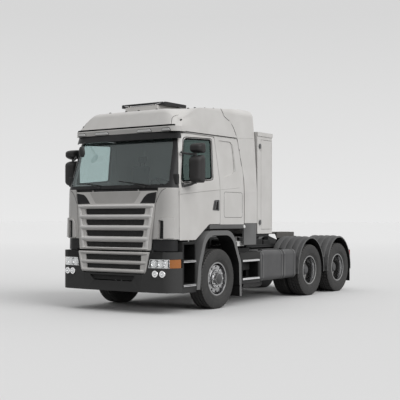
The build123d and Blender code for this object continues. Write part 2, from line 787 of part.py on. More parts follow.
def make_front_bumper():
    shell = bumper_solid(0, 360, 1030) - bumper_solid(45, 300, 1100)
    shell -= grille_window(0)
    shell -= lamp_window(0) + mirrored(lamp_window(0))
    shell -= front_prism([(-430, 530, 15), (430, 530, 15), (500, 625, 10), (-500, 625, 10)], -1600, -1300)
    for x in (905, 1040):
        hole = rod((x, -1600, 672), (x, -1200, 672), 42)
        shell -= hole + mirrored(hole)
    beam = block(-900, 900, -1421, -1300, 400, 520) + block(-900, -820, -1431, -1420, 400,
                                                            520) + block(820, 900, -1431, -1420, 400, 520)
    arms = block(355, 425, -1410, -1150, 480, 630) + block(355, 425, -1200, -1150, 480, 800)
    ear = block(tilt_x + 14, tilt_x + 30, tilt_y - 10, tilt_y + 10, 1010,
                tilt_z + 8) + rod((tilt_x - 12, tilt_y, tilt_z), (tilt_x + 20, tilt_y, tilt_z),
                                  tilt_pin_radius)
    half = arms + ear
    return shell + beam + half + mirrored(half)


def make_bumper_grille():
    panel = (bumper_solid(0, 650, 1029) - bumper_solid(53, 600, 1100)) & grille_window(4)
    panel += (bumper_solid(45 + seat_gap, 640, 1029) - bumper_solid(53, 600, 1100)) & grille_window(-15)
    for z0, z1, half in ((875, 970, 590), (735, 810, 580)):
        panel -= front_prism([(-half, z0, 30), (half, z0, 30), (half + 12, z1, 10), (-half - 12, z1, 10)],
                             -1600, -1100)
    return panel


def make_headlamps():
    lamp = (bumper_solid(2, 700, 950) - bumper_solid(60, 600, 1100)) & lamp_window(seat_gap)
    lamp -= block(-2000, 2000, -1180, 0, 0, 2000)
    fogs = []
    for x, set_back in ((905, 10), (1040, 28)):
        fogs.append(rod((x, -1465 + set_back, 672), (x, -1400 + set_back, 672), 42 - seat_gap))
    return pair(Compound(children=[lamp.solid(), *[f.solid() for f in fogs]]))


# Coupling, deck and cabinet

coupling_y = 3760.0
coupling_top = 1300.0
pivot_z = 1180.0

def make_fifth_wheel_base():
    base = block(-440, 440, 3300, 4100, rail_top, rail_top + 14)
    post = side_prism([(coupling_y - 220, rail_top + 14), (coupling_y + 220, rail_top + 14),
                       (coupling_y + 60, pivot_z + 45, 50), (coupling_y - 60, pivot_z + 45, 50)], 300,
                       345)
    pin = rod((252, coupling_y, pivot_z), (320, coupling_y, pivot_z), 30)
    half = post + pin
    return base + half + mirrored(half)


def make_fifth_wheel():
    plate = plan_prism([(-440, 3330, 180), (440, 3330, 180), (440, 4000, 60), (300, 4150, 40),
                        (120, 4150, 10), (50, 3850, 10), (-50, 3850, 10), (-120, 4150, 10),
                        (-300, 4150, 40), (-440, 4000, 60)], 1260, coupling_top)
    lug = side_prism([(coupling_y - 130, 1262), (coupling_y + 130, 1262),
                      (coupling_y + 40, pivot_z - 40, 38), (coupling_y - 40, pivot_z - 40, 38)], 256, 294)
    wheel = plate + lug + mirrored(lug)
    hole = rod((200, coupling_y, pivot_z), (350, coupling_y, pivot_z), 30 + running_gap)
    kingpin = Pos(0, coupling_y, 1250) * Cylinder(26, 200)
    return wheel - hole - mirrored(hole) - kingpin


def make_deck_plate():
    return block(-430, 430, 1950, 3150, rail_top, rail_top + 30)


cabinet_front = 1335.0
cabinet_rear = 1885.0
cabinet_bottom = 1300.0
cabinet_top = 3140.0
cabinet_half = 1190.0
cabinet_wall = 30.0

cabinet_door_front = 1476.0
cabinet_door_rear = 1859.0
cabinet_door_bottom = 1386.0
cabinet_door_top = 3074.0
cabinet_hinge_heights = (1520.0, 2900.0)

def cabinet_hinge(z):
    return Pos(cabinet_half + 4, cabinet_door_front - 2, z)


def make_tool_cabinet():
    w = cabinet_wall
    shell = block(-cabinet_half, cabinet_half, cabinet_front, cabinet_rear, cabinet_bottom, cabinet_top)
    shell -= block(-cabinet_half + w, cabinet_half - w, cabinet_front + w, cabinet_rear - w,
                   cabinet_bottom + w, cabinet_top - w)
    shell -= block(cabinet_half - w - 1, cabinet_half + 1, cabinet_door_front - 6, cabinet_door_rear + 6,
                   cabinet_door_bottom - 6, cabinet_door_top + 6)
    for z in cabinet_hinge_heights:
        shell = shell - hinge_room(cabinet_hinge(z)) + hinge_fixed(cabinet_hinge(z), (-4, -16, 12, 30))
    cap = block(-cabinet_half - 12, cabinet_half + 12, cabinet_front, cabinet_rear + 12, cabinet_top,
                cabinet_top + 75)
    feet = block(350, rail_half_width, cabinet_front + 60, cabinet_rear - 60, rail_top, cabinet_bottom)
    return shell + cap + feet + mirrored(feet)


def make_cabinet_door():
    door = block(cabinet_half - cabinet_wall, cabinet_half, cabinet_door_front, cabinet_door_rear,
                 cabinet_door_bottom, cabinet_door_top)
    for z in cabinet_hinge_heights:
        door = door - hinge_room(cabinet_hinge(z)) + hinge_moving(cabinet_hinge(z), (-4, 16, 12, 30))
    return door


def place_front(shape, side):
    shape = Pos(front_wheel_x, 0, tyre_radius) * shape
    return shape if side > 0 else mirrored(shape)


def place_rear(shape, y, side):
    shape = Pos(twin_mid_x, y, tyre_radius) * shape
    return shape if side > 0 else mirrored(shape)


def make_nodes():
    nodes = {
        "chassis_frame": make_chassis_frame(),
        "engine_block": make_engine_block(),
        "propshafts": make_propshafts(),
        "front_axle": make_front_axle(),
        "rear_bogie": make_rear_bogie(),
        "tanks": make_tanks(),
        "steps": make_steps(),
        "front_mudguards": make_front_mudguards(),
        "rear_mudguards": make_rear_mudguards(),
        "tail_lamps": make_tail_lamps(),
        "front_bumper": make_front_bumper(),
        "bumper_grille": make_bumper_grille(),
        "headlamps": make_headlamps(),
        "fifth_wheel_base": make_fifth_wheel_base(),
        "fifth_wheel": make_fifth_wheel(),
        "deck_plate": make_deck_plate(),
        "tool_cabinet": make_tool_cabinet(),
        "cabinet_door": make_cabinet_door(),
        "cab_floor": make_cab_floor(),
        "cab_front": make_cab_front(),
        "cab_sides": make_cab_sides(),
        "cab_back_wall": make_cab_back_wall(),
        "cab_roof": make_cab_roof(),
        "rear_fairing": make_rear_fairing(),
        "roof_hatch": make_roof_hatch(),
        "windscreen": make_windscreen(),
        "sun_visor": make_sun_visor(),
        "corner_panels": make_corner_panels(),
        "grille_flap": make_grille_flap(),
        "dashboard": make_dashboard(),
        "seats": make_seats(),
        "steering_wheel": make_steering_wheel(),
        "tie_rod": make_tie_rod(),
    }
    front_tyre = tyre_ring(front_tyre_width)
    front_rim = make_front_rim()
    rear_tyre = tyre_ring(rear_tyre_width)
    rear_tyres = Compound(children=[
        (Pos(outer_twin_x - twin_mid_x, 0, 0) * rear_tyre).solid(),
        (Pos(inner_twin_x - twin_mid_x, 0, 0) * rear_tyre).solid()])
    rear_rim = make_rear_rim()
    for side, name in ((1, "left"), (-1, "right")):
        nodes[f"door_{name}"] = make_door(side)
        nodes[f"door_glass_{name}"] = make_door_glass(side)
        nodes[f"mirror_{name}"] = make_mirror(side)
        nodes[f"knuckle_{name}"] = make_knuckle(side)
        nodes[f"tyre_front_{name}"] = place_front(front_tyre, side)
        nodes[f"rim_front_{name}"] = place_front(front_rim, side)
        for number, y in ((2, axle_2_y), (3, axle_3_y)):
            nodes[f"tyres_axle_{number}_{name}"] = place_rear(rear_tyres, y, side)
            nodes[f"rims_axle_{number}_{name}"] = place_rear(rear_rim, y, side)
    return nodes


os.makedirs("parts", exist_ok=True)
for node_name, node_shape in make_nodes().items():
    placed = [Pos(0, origin_shift, 0) * s for s in node_shape.solids()]
    export_step(placed[0] if len(placed) == 1 else Compound(children=placed), f"parts/{node_name}.step")
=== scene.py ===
"""Finishes, tread, lamps, trim and interior of the tractor unit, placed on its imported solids."""
import math

import bmesh
import bpy
from mathutils import Matrix, Vector
from mathutils.bvhtree import BVHTree

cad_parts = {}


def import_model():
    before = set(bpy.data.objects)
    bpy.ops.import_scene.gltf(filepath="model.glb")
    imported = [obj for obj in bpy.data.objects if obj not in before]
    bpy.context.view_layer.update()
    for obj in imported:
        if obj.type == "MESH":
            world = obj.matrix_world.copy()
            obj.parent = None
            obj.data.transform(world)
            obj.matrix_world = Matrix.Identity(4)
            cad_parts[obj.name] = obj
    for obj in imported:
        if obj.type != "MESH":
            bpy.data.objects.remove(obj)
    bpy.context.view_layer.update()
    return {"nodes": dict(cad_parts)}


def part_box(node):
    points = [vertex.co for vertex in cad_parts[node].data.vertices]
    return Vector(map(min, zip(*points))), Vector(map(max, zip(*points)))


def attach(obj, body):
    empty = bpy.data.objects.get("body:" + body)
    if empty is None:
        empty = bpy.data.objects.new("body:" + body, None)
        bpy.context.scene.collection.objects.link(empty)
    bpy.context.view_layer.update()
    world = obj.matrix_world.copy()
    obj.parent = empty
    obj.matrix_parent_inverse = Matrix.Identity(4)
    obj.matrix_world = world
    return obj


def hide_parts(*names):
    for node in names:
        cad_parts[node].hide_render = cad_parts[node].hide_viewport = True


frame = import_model()
nodes = frame["nodes"]

# Lengths are in metres. Points have y = 0 at the front axle, and AXLE_Y moves them to the row frame.
AXLE_Y = -1.9875
AXLE_2 = 3.4
AXLE_3 = 4.71
WHEEL_Z = 0.525
FRONT_WHEEL_X = 1.04
OUTER_TWIN_X = 1.09
INNER_TWIN_X = 0.745


# Materials

def add(tree, kind, inputs=None, **settings):
    """Adds a shader node. An input takes a value or the socket that feeds it."""
    made = tree.nodes.new("ShaderNode" + kind)
    for key, value in settings.items():
        setattr(made, key, value)
    feed(tree, made, inputs or {})
    return made


def feed(tree, taker, inputs):
    for key, value in inputs.items():
        if isinstance(value, bpy.types.NodeSocket):
            tree.links.new(value, taker.inputs[key])
        else:
            taker.inputs[key].default_value = value


def new_material(name):
    material = bpy.data.materials.new(name)
    material.use_nodes = True
    return material, material.node_tree, material.node_tree.nodes["Principled BSDF"]


def here(tree):
    """The shaded point in its piece's own frame."""
    return add(tree, "TexCoord").outputs["Object"]


def noise(tree, place, scale, detail):
    return add(tree, "TexNoise", {"Vector": place, "Scale": scale, "Detail": detail}).outputs["Fac"]


def ramp(tree, source, low, high, first=0.0, last=1.0):
    """Goes from one colour to another as a value goes from first to last."""
    tones = add(tree, "ValToRGB", {"Fac": source})
    for stop, position, colour in zip(tones.color_ramp.elements, (first, last), (low, high)):
        stop.position = position
        stop.color = (*colour, 1)
    return tones.outputs["Color"]


def scaled(tree, source, low, high, first=0.0, last=1.0):
    """Goes from low to high as a value goes from first to last."""
    inputs = {"Value": source, "From Min": first, "From Max": last, "To Min": low, "To Max": high}
    return add(tree, "MapRange", inputs).outputs["Result"]


def reckon(tree, operation, first, second):
    return add(tree, "Math", {0: first, 1: second}, operation=operation).outputs["Value"]


def blend_colour(tree, share, first, second):
    return add(tree, "Mix", {"Factor": share, "A": first, "B": second}, data_type="RGBA").outputs["Result"]


def blend_shader(tree, share, first, second):
    return add(tree, "MixShader", {"Fac": share, 1: first.outputs[0], 2: second.outputs[0]})


def add_bump(tree, shader, source, strength, distance):
    bump = add(tree, "Bump", {"Height": source, "Strength": strength, "Distance": distance})
    feed(tree, shader, {"Normal": bump.outputs["Normal"]})


# How far a finish's roughness strays, and where its lighter edges begin and end on the scale of sharpness.
GLOSS_SPREAD = 0.08
EDGE_FROM, EDGE_TO = 0.52, 0.62


def finish(name, low, high, roughness, scale=3.0, grain=400.0, grain_depth=0.0002, metallic=0.0, coat=0.0,
           edge=None, specular=0.5):
    """A surface whose colour drifts between two tones, with a fine grain and uneven gloss."""
    material, tree, shader = new_material(name)
    broad = noise(tree, here(tree), scale, 4.0)
    colour = ramp(tree, broad, low, high, 0.35, 0.65)
    if edge is not None:
        sharp = add(tree, "NewGeometry").outputs["Pointiness"]
        colour = blend_colour(tree, scaled(tree, sharp, 0.0, 1.0, EDGE_FROM, EDGE_TO), colour, (*edge, 1))
    gloss = scaled(tree, broad, max(0.02, roughness - GLOSS_SPREAD), min(1.0, roughness + GLOSS_SPREAD))
    feed(tree, shader, {"Base Color": colour, "Roughness": gloss, "Metallic": metallic, "Coat Weight": coat,
                        "Coat Roughness": 0.12, "Specular IOR Level": specular})
    add_bump(tree, shader, noise(tree, here(tree), grain, 2.0), 0.25, grain_depth)
    return material


GLASS_ROUGHNESS = 0.03
FILM_COLOUR = (0.2, 0.27, 0.265, 1)


def clear_glass(name, tint, mirror, film=0.03):
    """A thin tinted pane with a faint film. Its outer face mirrors more at a slant."""
    material, tree, shader = new_material(name)
    tree.nodes.remove(shader)
    clear = add(tree, "BsdfTransparent", {"Color": (*tint, 1)})
    dust = add(tree, "BsdfDiffuse", {"Color": FILM_COLOUR})
    amount = scaled(tree, noise(tree, here(tree), 2.5, 4.0), film * 0.6, film * 1.4)
    gloss = add(tree, "BsdfGlossy", {"Roughness": GLASS_ROUGHNESS, "Color": (*mirror, 1)})
    slant = add(tree, "LayerWeight", {"Blend": 0.5}).outputs["Facing"]
    share = scaled(tree, reckon(tree, "POWER", slant, 4.0), 0.13, 0.9)
    outside = reckon(tree, "SUBTRACT", 1.0, add(tree, "NewGeometry").outputs["Backfacing"])
    pane = blend_shader(tree, reckon(tree, "MULTIPLY", share, outside),
                        blend_shader(tree, amount, clear, dust), gloss)
    feed(tree, tree.nodes["Material Output"], {"Surface": pane.outputs["Shader"]})
    return material


LENS_PITCH = 0.006


def ribbed_lens(name, colour):
    """A lamp lens with fine upright ribs."""
    material, tree, shader = new_material(name)
    wave = add(tree, "TexWave", {"Vector": here(tree), "Scale": 1.0 / LENS_PITCH}).outputs["Fac"]
    tone = ramp(tree, wave, [part * 0.8 for part in colour], colour)
    feed(tree, shader, {"Base Color": tone, "Transmission Weight": 0.2, "IOR": 1.45, "Roughness": 0.08})
    add_bump(tree, shader, wave, 0.3, 0.0008)
    return material


def brushed(name, low, high, roughness, stretch=(2.0, 160.0, 160.0)):
    """Metal with fine lines along one direction."""
    material, tree, shader = new_material(name)
    place = add(tree, "Mapping", {"Vector": here(tree), "Scale": stretch}).outputs["Vector"]
    lines = noise(tree, place, 1.0, 3.0)
    gloss = scaled(tree, lines, roughness * 0.7, roughness * 1.4)
    feed(tree, shader, {"Base Color": ramp(tree, lines, low, high), "Metallic": 1.0, "Roughness": gloss})
    add_bump(tree, shader, lines, 0.15, 0.0002)
    return material


def woven(name, low, high, pitch):
    """Cloth with a fine two-way weave and a soft sheen."""
    material, tree, shader = new_material(name)
    inputs = {"Vector": here(tree), "Scale": 1.0 / pitch, "Distortion": 0.6}
    waves = [add(tree, "TexWave", inputs, bands_direction=way).outputs["Fac"] for way in ("X", "Z")]
    weave = reckon(tree, "MULTIPLY", *waves)
    feed(tree, shader, {"Base Color": ramp(tree, weave, low, high), "Roughness": 0.9, "Sheen Weight": 0.3})
    add_bump(tree, shader, weave, 0.4, 0.0006)
    return material


# Depth of the grain on painted panels.
PAINT_GRAIN = 0.00005

PAINT = finish("warm grey paint", (0.585, 0.572, 0.553), (0.63, 0.617, 0.6), 0.42, coat=0.25, grain=900.0,
               grain_depth=PAINT_GRAIN)
# A lighter copy of the cab paint for the flap's bars: a painted highlight.
PAINT_LIT_BAR = finish("bar paint", (0.72, 0.71, 0.695), (0.77, 0.76, 0.745), 0.4, coat=0.25, grain=900.0,
                   grain_depth=PAINT_GRAIN)
# A darker copy of the cab paint for the corner panels and their bulges: painted shade.
PAINT_CORNER_SHADED = finish("corner paint", (0.5, 0.49, 0.475), (0.54, 0.53, 0.515), 0.42, coat=0.25, grain=900.0,
                      grain_depth=PAINT_GRAIN)
# A darker copy of the cab paint: painted shade along seams and creases, on the flap's recess, the corner
# crest and the edge of the blank window.
PAINT_IN_SHADE = finish("recess paint", (0.43, 0.42, 0.405), (0.47, 0.46, 0.445), 0.5, grain=900.0,
                    grain_depth=PAINT_GRAIN)
BUMPER = finish("bumper plastic", (0.01, 0.01, 0.01), (0.015, 0.015, 0.015), 0.62, grain=700.0,
                edge=(0.06, 0.06, 0.06), specular=0.13)
BLACK = finish("black plastic", (0.009, 0.009, 0.01), (0.015, 0.015, 0.016), 0.5, grain=600.0,
               edge=(0.045, 0.045, 0.045), specular=0.2)
# Near black. Painted shadow in gaps, seams and behind the front rims' hand holes; also the black of the
# window seals and of the door handle's slot.
GAP = finish("seam shadow", (0.006, 0.006, 0.006), (0.012, 0.012, 0.012), 0.95, specular=0.05)
CHASSIS = finish("chassis paint", (0.009, 0.009, 0.01), (0.016, 0.016, 0.017), 0.55, grain=300.0,
                 edge=(0.05, 0.05, 0.05), specular=0.2)
TANK = finish("tank paint", (0.08, 0.08, 0.082), (0.1, 0.1, 0.102), 0.4, grain=500.0, edge=(0.2, 0.2, 0.2),
              specular=0.2)
RUBBER = finish("tyre rubber", (0.03, 0.03, 0.03), (0.046, 0.045, 0.044), 0.78, scale=9.0, grain=260.0,
                grain_depth=0.0006, edge=(0.07, 0.068, 0.065))
STEEL = finish("rim steel", (0.1, 0.1, 0.1), (0.15, 0.147, 0.143), 0.36, metallic=0.4, edge=(0.4, 0.4, 0.4))
CAST = finish("cast steel", (0.03, 0.03, 0.031), (0.055, 0.053, 0.05), 0.62, scale=12.0, grain=160.0,
              grain_depth=0.0012, edge=(0.14, 0.13, 0.12))
ALLOY = brushed("polished aluminium", (0.22, 0.22, 0.225), (0.62, 0.62, 0.625), 0.2, (34.0, 34.0, 34.0))
TREAD_ALLOY = brushed("step aluminium", (0.62, 0.62, 0.63), (0.84, 0.84, 0.85), 0.3)
GLASS = clear_glass("tinted glass", (0.885, 0.925, 0.93), (0.68, 0.75, 0.755))
SIDE_GLASS = clear_glass("side glass", (0.78, 0.86, 0.85), (0.5, 0.68, 0.64))
PILLAR = finish("black pillar", (0.018, 0.018, 0.019), (0.026, 0.026, 0.027), 0.3, grain=600.0,
                grain_depth=PAINT_GRAIN, specular=0.2)
MIRROR_CASE = finish("mirror case", (0.03, 0.029, 0.029), (0.042, 0.04, 0.04), 0.45, grain=700.0,
                     edge=(0.1, 0.1, 0.1), specular=0.2)
CLEAR = clear_glass("clear lens", (0.96, 0.965, 0.965), (0.9, 0.9, 0.9), 0.01)
REFLECTOR = brushed("lamp reflector", (0.82, 0.82, 0.83), (0.95, 0.95, 0.95), 0.08, (60.0, 60.0, 60.0))
AMBER = ribbed_lens("amber lens", (0.55, 0.2, 0.05))
RED = ribbed_lens("red lens", (0.5, 0.02, 0.02))
WHITE = finish("white plastic", (0.78, 0.78, 0.77), (0.85, 0.85, 0.84), 0.35)
CLOTH = woven("seat cloth", (0.035, 0.037, 0.042), (0.085, 0.088, 0.095), 0.004)
DASH = finish("dashboard plastic", (0.05, 0.05, 0.052), (0.075, 0.075, 0.078), 0.7, grain=500.0)
LINING = finish("cab lining", (0.3, 0.295, 0.285), (0.36, 0.355, 0.34), 0.8, grain=300.0,
                grain_depth=0.0004)
MIRROR_GLASS = brushed("mirror glass", (0.86, 0.88, 0.9), (0.92, 0.94, 0.95), 0.03, (3.0, 3.0, 3.0))


def shade_inside(material, wheels):
    """Paints shade on the faces that look towards a wheel, where the inside of a mudguard lies in shadow."""
    tree = material.node_tree
    shader = tree.nodes["Principled BSDF"]
    place = add(tree, "TexCoord")
    parts = add(tree, "SeparateXYZ", {"Vector": place.outputs["Object"]})
    behind = reckon(tree, "GREATER_THAN", parts.outputs["Y"], sum(wheels) / 2)
    axle = add(tree, "CombineXYZ", {"X": parts.outputs["X"], "Y": scaled(tree, behind, *wheels),
                                    "Z": WHEEL_Z})
    outward = add(tree, "VectorMath", {0: place.outputs["Object"], 1: axle.outputs["Vector"]},
                  operation="SUBTRACT")
    facing = add(tree, "VectorMath", {0: outward.outputs["Vector"], 1: place.outputs["Normal"]},
                 operation="DOT_PRODUCT")
    # Painted shade: the more a face turns towards the wheel, the nearer its colour comes to near black.
    dark = scaled(tree, facing.outputs["Value"], 0.0, 1.0, -0.05, -0.2)
    paint = shader.inputs["Base Color"].links[0].from_socket
    feed(tree, shader, {"Base Color": blend_colour(tree, dark, paint, (0.012, 0.012, 0.012, 1))})
    return material


def trim(name):
    return finish(name, (0.082, 0.082, 0.083), (0.104, 0.104, 0.105), 0.6, grain=700.0,
                  edge=(0.17, 0.17, 0.17), specular=0.2)


TRIM = trim("dark grey plastic")
# Both mudguard finishes carry painted shade on the faces turned towards their wheels.
FRONT_GUARD = shade_inside(trim("front mudguard plastic"), (AXLE_Y, AXLE_Y))
REAR_GUARD = shade_inside(trim("rear mudguard plastic"), (AXLE_2 + AXLE_Y, AXLE_3 + AXLE_Y))


def repaint(material, names):
    for name in names:
        mesh = nodes[name].data
        mesh.materials.clear()
        mesh.materials.append(material)


def both(stem):
    return [f"{stem}_left", f"{stem}_right"]


for look, names in (
    # The corner panels take the darker copy of the paint: painted shade.
    (PAINT_CORNER_SHADED, ["corner_panels"]),
    (PAINT, ["cab_sides", "cab_back_wall", "cab_roof", "rear_fairing", "grille_flap", "tool_cabinet",
             "cabinet_door", "bumper_grille", *both("door")]),
    (TRIM, ["cab_floor"]),
    (FRONT_GUARD, ["front_mudguards"]),
    (REAR_GUARD, ["rear_mudguards"]),
    (BUMPER, ["steps", "front_bumper"]),
    (PILLAR, ["cab_front", "roof_hatch", "sun_visor"]),
    (TANK, ["tanks"]),
    (BLACK, ["steering_wheel"]),
    (MIRROR_CASE, both("mirror")),
    (GLASS, ["windscreen"]),
    (SIDE_GLASS, both("door_glass")),
    (CHASSIS, ["chassis_frame", "propshafts", "front_axle", "rear_bogie", "deck_plate", "engine_block"]),
    (CAST, ["fifth_wheel", "fifth_wheel_base", "tie_rod", *both("knuckle")]),
    (ALLOY, both("rim_front")),
    (STEEL, both("rims_axle_2") + both("rims_axle_3")),
    (DASH, ["dashboard"]),
    (CLOTH, ["seats"]),
    (RED, ["tail_lamps"]),
):
    repaint(look, names)


# Mesh building. Every builder returns a bmesh with y = 0 at the front axle.

def flipped(bm):
    """A mirrored copy for the truck's right side."""
    copy = bm.copy()
    bmesh.ops.scale(copy, vec=(-1, 1, 1), verts=copy.verts)
    bmesh.ops.reverse_faces(copy, faces=copy.faces)
    return copy


def merged(parts):
    mesh = bpy.data.meshes.new("scratch")
    whole = bmesh.new()
    for part in parts:
        part.to_mesh(mesh)
        whole.from_mesh(mesh)
        part.free()
    bpy.data.meshes.remove(mesh)
    return whole


BEVEL_ANGLE = 40.0


def emit(name, bm, body, slot, material, bevel=0.0, smooth=35.0, replaces=()):
    """Moves a bmesh to the row frame and makes it a piece of its body."""
    bmesh.ops.translate(bm, vec=(0, AXLE_Y, 0), verts=bm.verts)
    bmesh.ops.recalc_face_normals(bm, faces=bm.faces)
    mesh = bpy.data.meshes.new(name)
    bm.to_mesh(mesh)
    bm.free()
    mesh.materials.append(material)
    mesh.shade_smooth()
    mesh.set_sharp_from_angle(angle=math.radians(smooth))
    piece = bpy.data.objects.new(name, mesh)
    bpy.context.scene.collection.objects.link(piece)
    if bevel:
        rounding = piece.modifiers.new("rounding", "BEVEL")
        rounding.width = bevel
        rounding.segments = 2
        rounding.limit_method = "ANGLE"
        rounding.angle_limit = math.radians(BEVEL_ANGLE)
        rounding.harden_normals = True
    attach(piece, body)
    if replaces:
        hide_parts(*replaces)
    return piece


def emit_pair(name, bm, body, slot, material, replaces=(), **options):
    """The piece and its mirror image. {side} in a body's or node's name stands for left or right."""
    for side, mesh in (("right", flipped(bm)), ("left", bm)):
        gone = [node.format(side=side) for node in replaces]
        emit(f"{name}_{side}", mesh, body.format(side=side), slot, material, replaces=gone, **options)


def box_mesh(x0, x1, y0, y1, z0, z1):
    bm = bmesh.new()
    centre = Vector(((x0 + x1) / 2, (y0 + y1) / 2, (z0 + z1) / 2))
    size = Matrix.Diagonal((abs(x1 - x0), abs(y1 - y0), abs(z1 - z0), 1))
    bmesh.ops.create_cube(bm, size=1.0, matrix=Matrix.Translation(centre) @ size)
    return bm


def loft(rings, caps=True, closed=False):
    """Faces between rings with the same number of points."""
    bm = bmesh.new()
    rows = [[bm.verts.new(p) for p in ring] for ring in rings]
    count = len(rows[0])
    pairs = list(zip(rows, rows[1:]))
    if closed:
        pairs.append((rows[-1], rows[0]))
    for a, b in pairs:
        for i in range(count):
            j = (i + 1) % count
            bm.faces.new((a[i], a[j], b[j], b[i]))
    if caps and not closed:
        bm.faces.new(rows[0][::-1])
        bm.faces.new(rows[-1])
    return bm


def sweep(points, section, up=Vector((0, 0, 1)), caps=True, closed=False):
    """A section of (side, up) offsets carried along a line. section(t) may change along the way."""
    line = [Vector(p) for p in points]
    rings = []
    last = len(line) - 1
    for i, point in enumerate(line):
        before = line[i - 1] if i or closed else line[0]
        after = line[(i + 1) % len(line)] if i < last or closed else line[last]
        ahead = (after - before).normalized()
        side = ahead.cross(up)
        if side.length < 1e-4:
            side = ahead.cross(Vector((0, 1, 0)))
        side.normalize()
        rise = side.cross(ahead).normalized()
        rings.append([point + side * a + rise * b for a, b in section(i / max(1, last))])
    return loft(rings, caps, closed)


def ring_of(radius, sides):
    return [(radius * math.cos(math.tau * k / sides), radius * math.sin(math.tau * k / sides))
            for k in range(sides)]


def tube(points, radius, sides=10, caps=True, closed=False):
    ring = ring_of(radius, sides)
    return sweep(points, lambda t: ring, caps=caps, closed=closed)


def revolve(profile, centre, axis="X", steps=48):
    """Turns (along, radius) points about an axis. A profile that ends off the axis makes a ring."""
    bm = bmesh.new()
    cx, cy, cz = centre
    rows = []
    for k in range(steps):
        a = 2 * math.pi * k / steps
        row = []
        for along, r in profile:
            u, v = r * math.cos(a), r * math.sin(a)
            spot = {"X": (cx + along, cy + u, cz + v), "Y": (cx + u, cy + along, cz + v),
                    "Z": (cx + u, cy + v, cz + along)}
            row.append(bm.verts.new(spot[axis]))
        rows.append(row)
    count = len(profile)
    spans = range(count) if profile[-1][1] else range(count - 1)
    for k in range(steps):
        a, b = rows[k], rows[(k + 1) % steps]
        for i in spans:
            j = (i + 1) % count
            bm.faces.new((a[i], a[j], b[j], b[i]))
    bmesh.ops.remove_doubles(bm, verts=bm.verts, dist=1e-5)
    return bm


def prism(outline, axis, low, high):
    """A flat outline given depth: axis X takes (y, z), Y takes (x, z) and Z takes (x, y)."""
    spot = {"X": lambda a, b, d: (d, a, b), "Y": lambda a, b, d: (a, d, b),
            "Z": lambda a, b, d: (a, b, d)}[axis]
    return loft([[spot(a, b, d) for a, b in outline] for d in (low, high)])


CASTS = {
    "front": (lambda a, b: Vector((a, -3.0, b)), Vector((0, 1, 0))),
    "left": (lambda a, b: Vector((3.0, a, b)), Vector((-1, 0, 0))),
    "right": (lambda a, b: Vector((-3.0, a, b)), Vector((1, 0, 0))),
    "top": (lambda a, b: Vector((a, b, 5.0)), Vector((0, 0, -1))),
    "back": (lambda a, b: Vector((a, 6.0, b)), Vector((0, -1, 0))),
}
_trees = {}
reshaped = {}


def surface(names):
    """A search tree over CAD nodes, moved to the axle frame."""
    key = tuple(names)
    if key not in _trees:
        verts = []
        faces = []
        for name in names:
            mesh = reshaped.get(name, nodes[name].data)
            start = len(verts)
            verts.extend(v.co - Vector((0, AXLE_Y, 0)) for v in mesh.vertices)
            faces.extend([start + i for i in p.vertices] for p in mesh.polygons)
        _trees[key] = BVHTree.FromPolygons(verts, faces)
    return _trees[key]


def touch(names, view, a, b):
    """Where a ray from that view first meets the nodes, with the surface's direction."""
    start, way = CASTS[view]
    spot, normal, _, _ = surface(names).ray_cast(start(a, b), way)
    if spot is None:
        return None, -way
    if normal.dot(way) > 0:
        normal = -normal
    return spot, normal


def spaced(outline, step, closed=False):
    """Points along a flat line, no further apart than a step."""
    points = []
    pairs = list(zip(outline, outline[1:]))
    if closed:
        pairs.append((outline[-1], outline[0]))
    for (a0, b0), (a1, b1) in pairs:
        count = max(1, math.ceil(math.hypot(a1 - a0, b1 - b0) / step))
        points.extend((a0 + (a1 - a0) * k / count, b0 + (b1 - b0) * k / count) for k in range(count))
    if not closed:
        points.append(outline[-1])
    return points


def rounded(outline, radius, steps=4):
    """The outline with its corners rounded. A corner may carry its own radius as a third value."""
    result = []
    count = len(outline)
    for i, corner in enumerate(outline):
        apex = Vector(corner[:2])
        r = corner[2] if len(corner) > 2 else radius
        before = Vector(outline[i - 1][:2]) - apex
        after = Vector(outline[(i + 1) % count][:2]) - apex
        r = min(r, before.length * 0.45, after.length * 0.45)
        start = apex + before.normalized() * r
        end = apex + after.normalized() * r
        for k in range(steps + 1):
            t = k / steps
            point = start * (1 - t) ** 2 + apex * 2 * t * (1 - t) + end * t ** 2
            result.append((point.x, point.y))
    return result


def seam(points, view, names, radius=0.003, closed=False, sink=0.001):
    """A thin line laid in the surface of CAD nodes."""
    spots = []
    for a, b in spaced(points, 0.03, closed):
        spot, normal = touch(names, view, a, b)
        if spot is not None:
            spots.append(spot - normal * sink)
    return tube(spots, radius, 6, closed=closed)


def slice_mesh(bm, spot, normal):
    bmesh.ops.bisect_plane(bm, geom=[*bm.verts, *bm.edges, *bm.faces], plane_co=spot, plane_no=normal)


def skin(outline, view, names, lift, sink, grid=0.04):
    """A plate that follows the surface of CAD nodes inside an outline."""
    bm = bmesh.new()
    bm.faces.new([bm.verts.new((a, b, 0)) for a, b in outline])
    bmesh.ops.triangulate(bm, faces=bm.faces)
    for axis, normal in ((0, Vector((1, 0, 0))), (1, Vector((0, 1, 0)))):
        low = min(p[axis] for p in outline)
        high = max(p[axis] for p in outline)
        count = int((high - low) / grid)
        for k in range(1, count + 1):
            slice_mesh(bm, normal * (low + (high - low) * k / (count + 1)), normal)
    way = CASTS[view][1]
    for vert in bm.verts:
        spot, normal = touch(names, view, vert.co.x, vert.co.y)
        if spot is None:
            raise ValueError(f"no surface under {view} {tuple(vert.co)[:2]} of {names}")
        vert.co = spot - way * lift
    grown = bmesh.ops.extrude_face_region(bm, geom=bm.faces[:])
    moved = [v for v in grown["geom"] if isinstance(v, bmesh.types.BMVert)]
    bmesh.ops.translate(bm, vec=way * (lift + sink), verts=moved)
    return bm


def mirror_outline(outline):
    return [(-a, b) for a, b in outline][::-1]


# Wheels

# Half the distance between the beads, as a share of a tyre's width.
BEAD_SHARE = 0.118 / 0.315


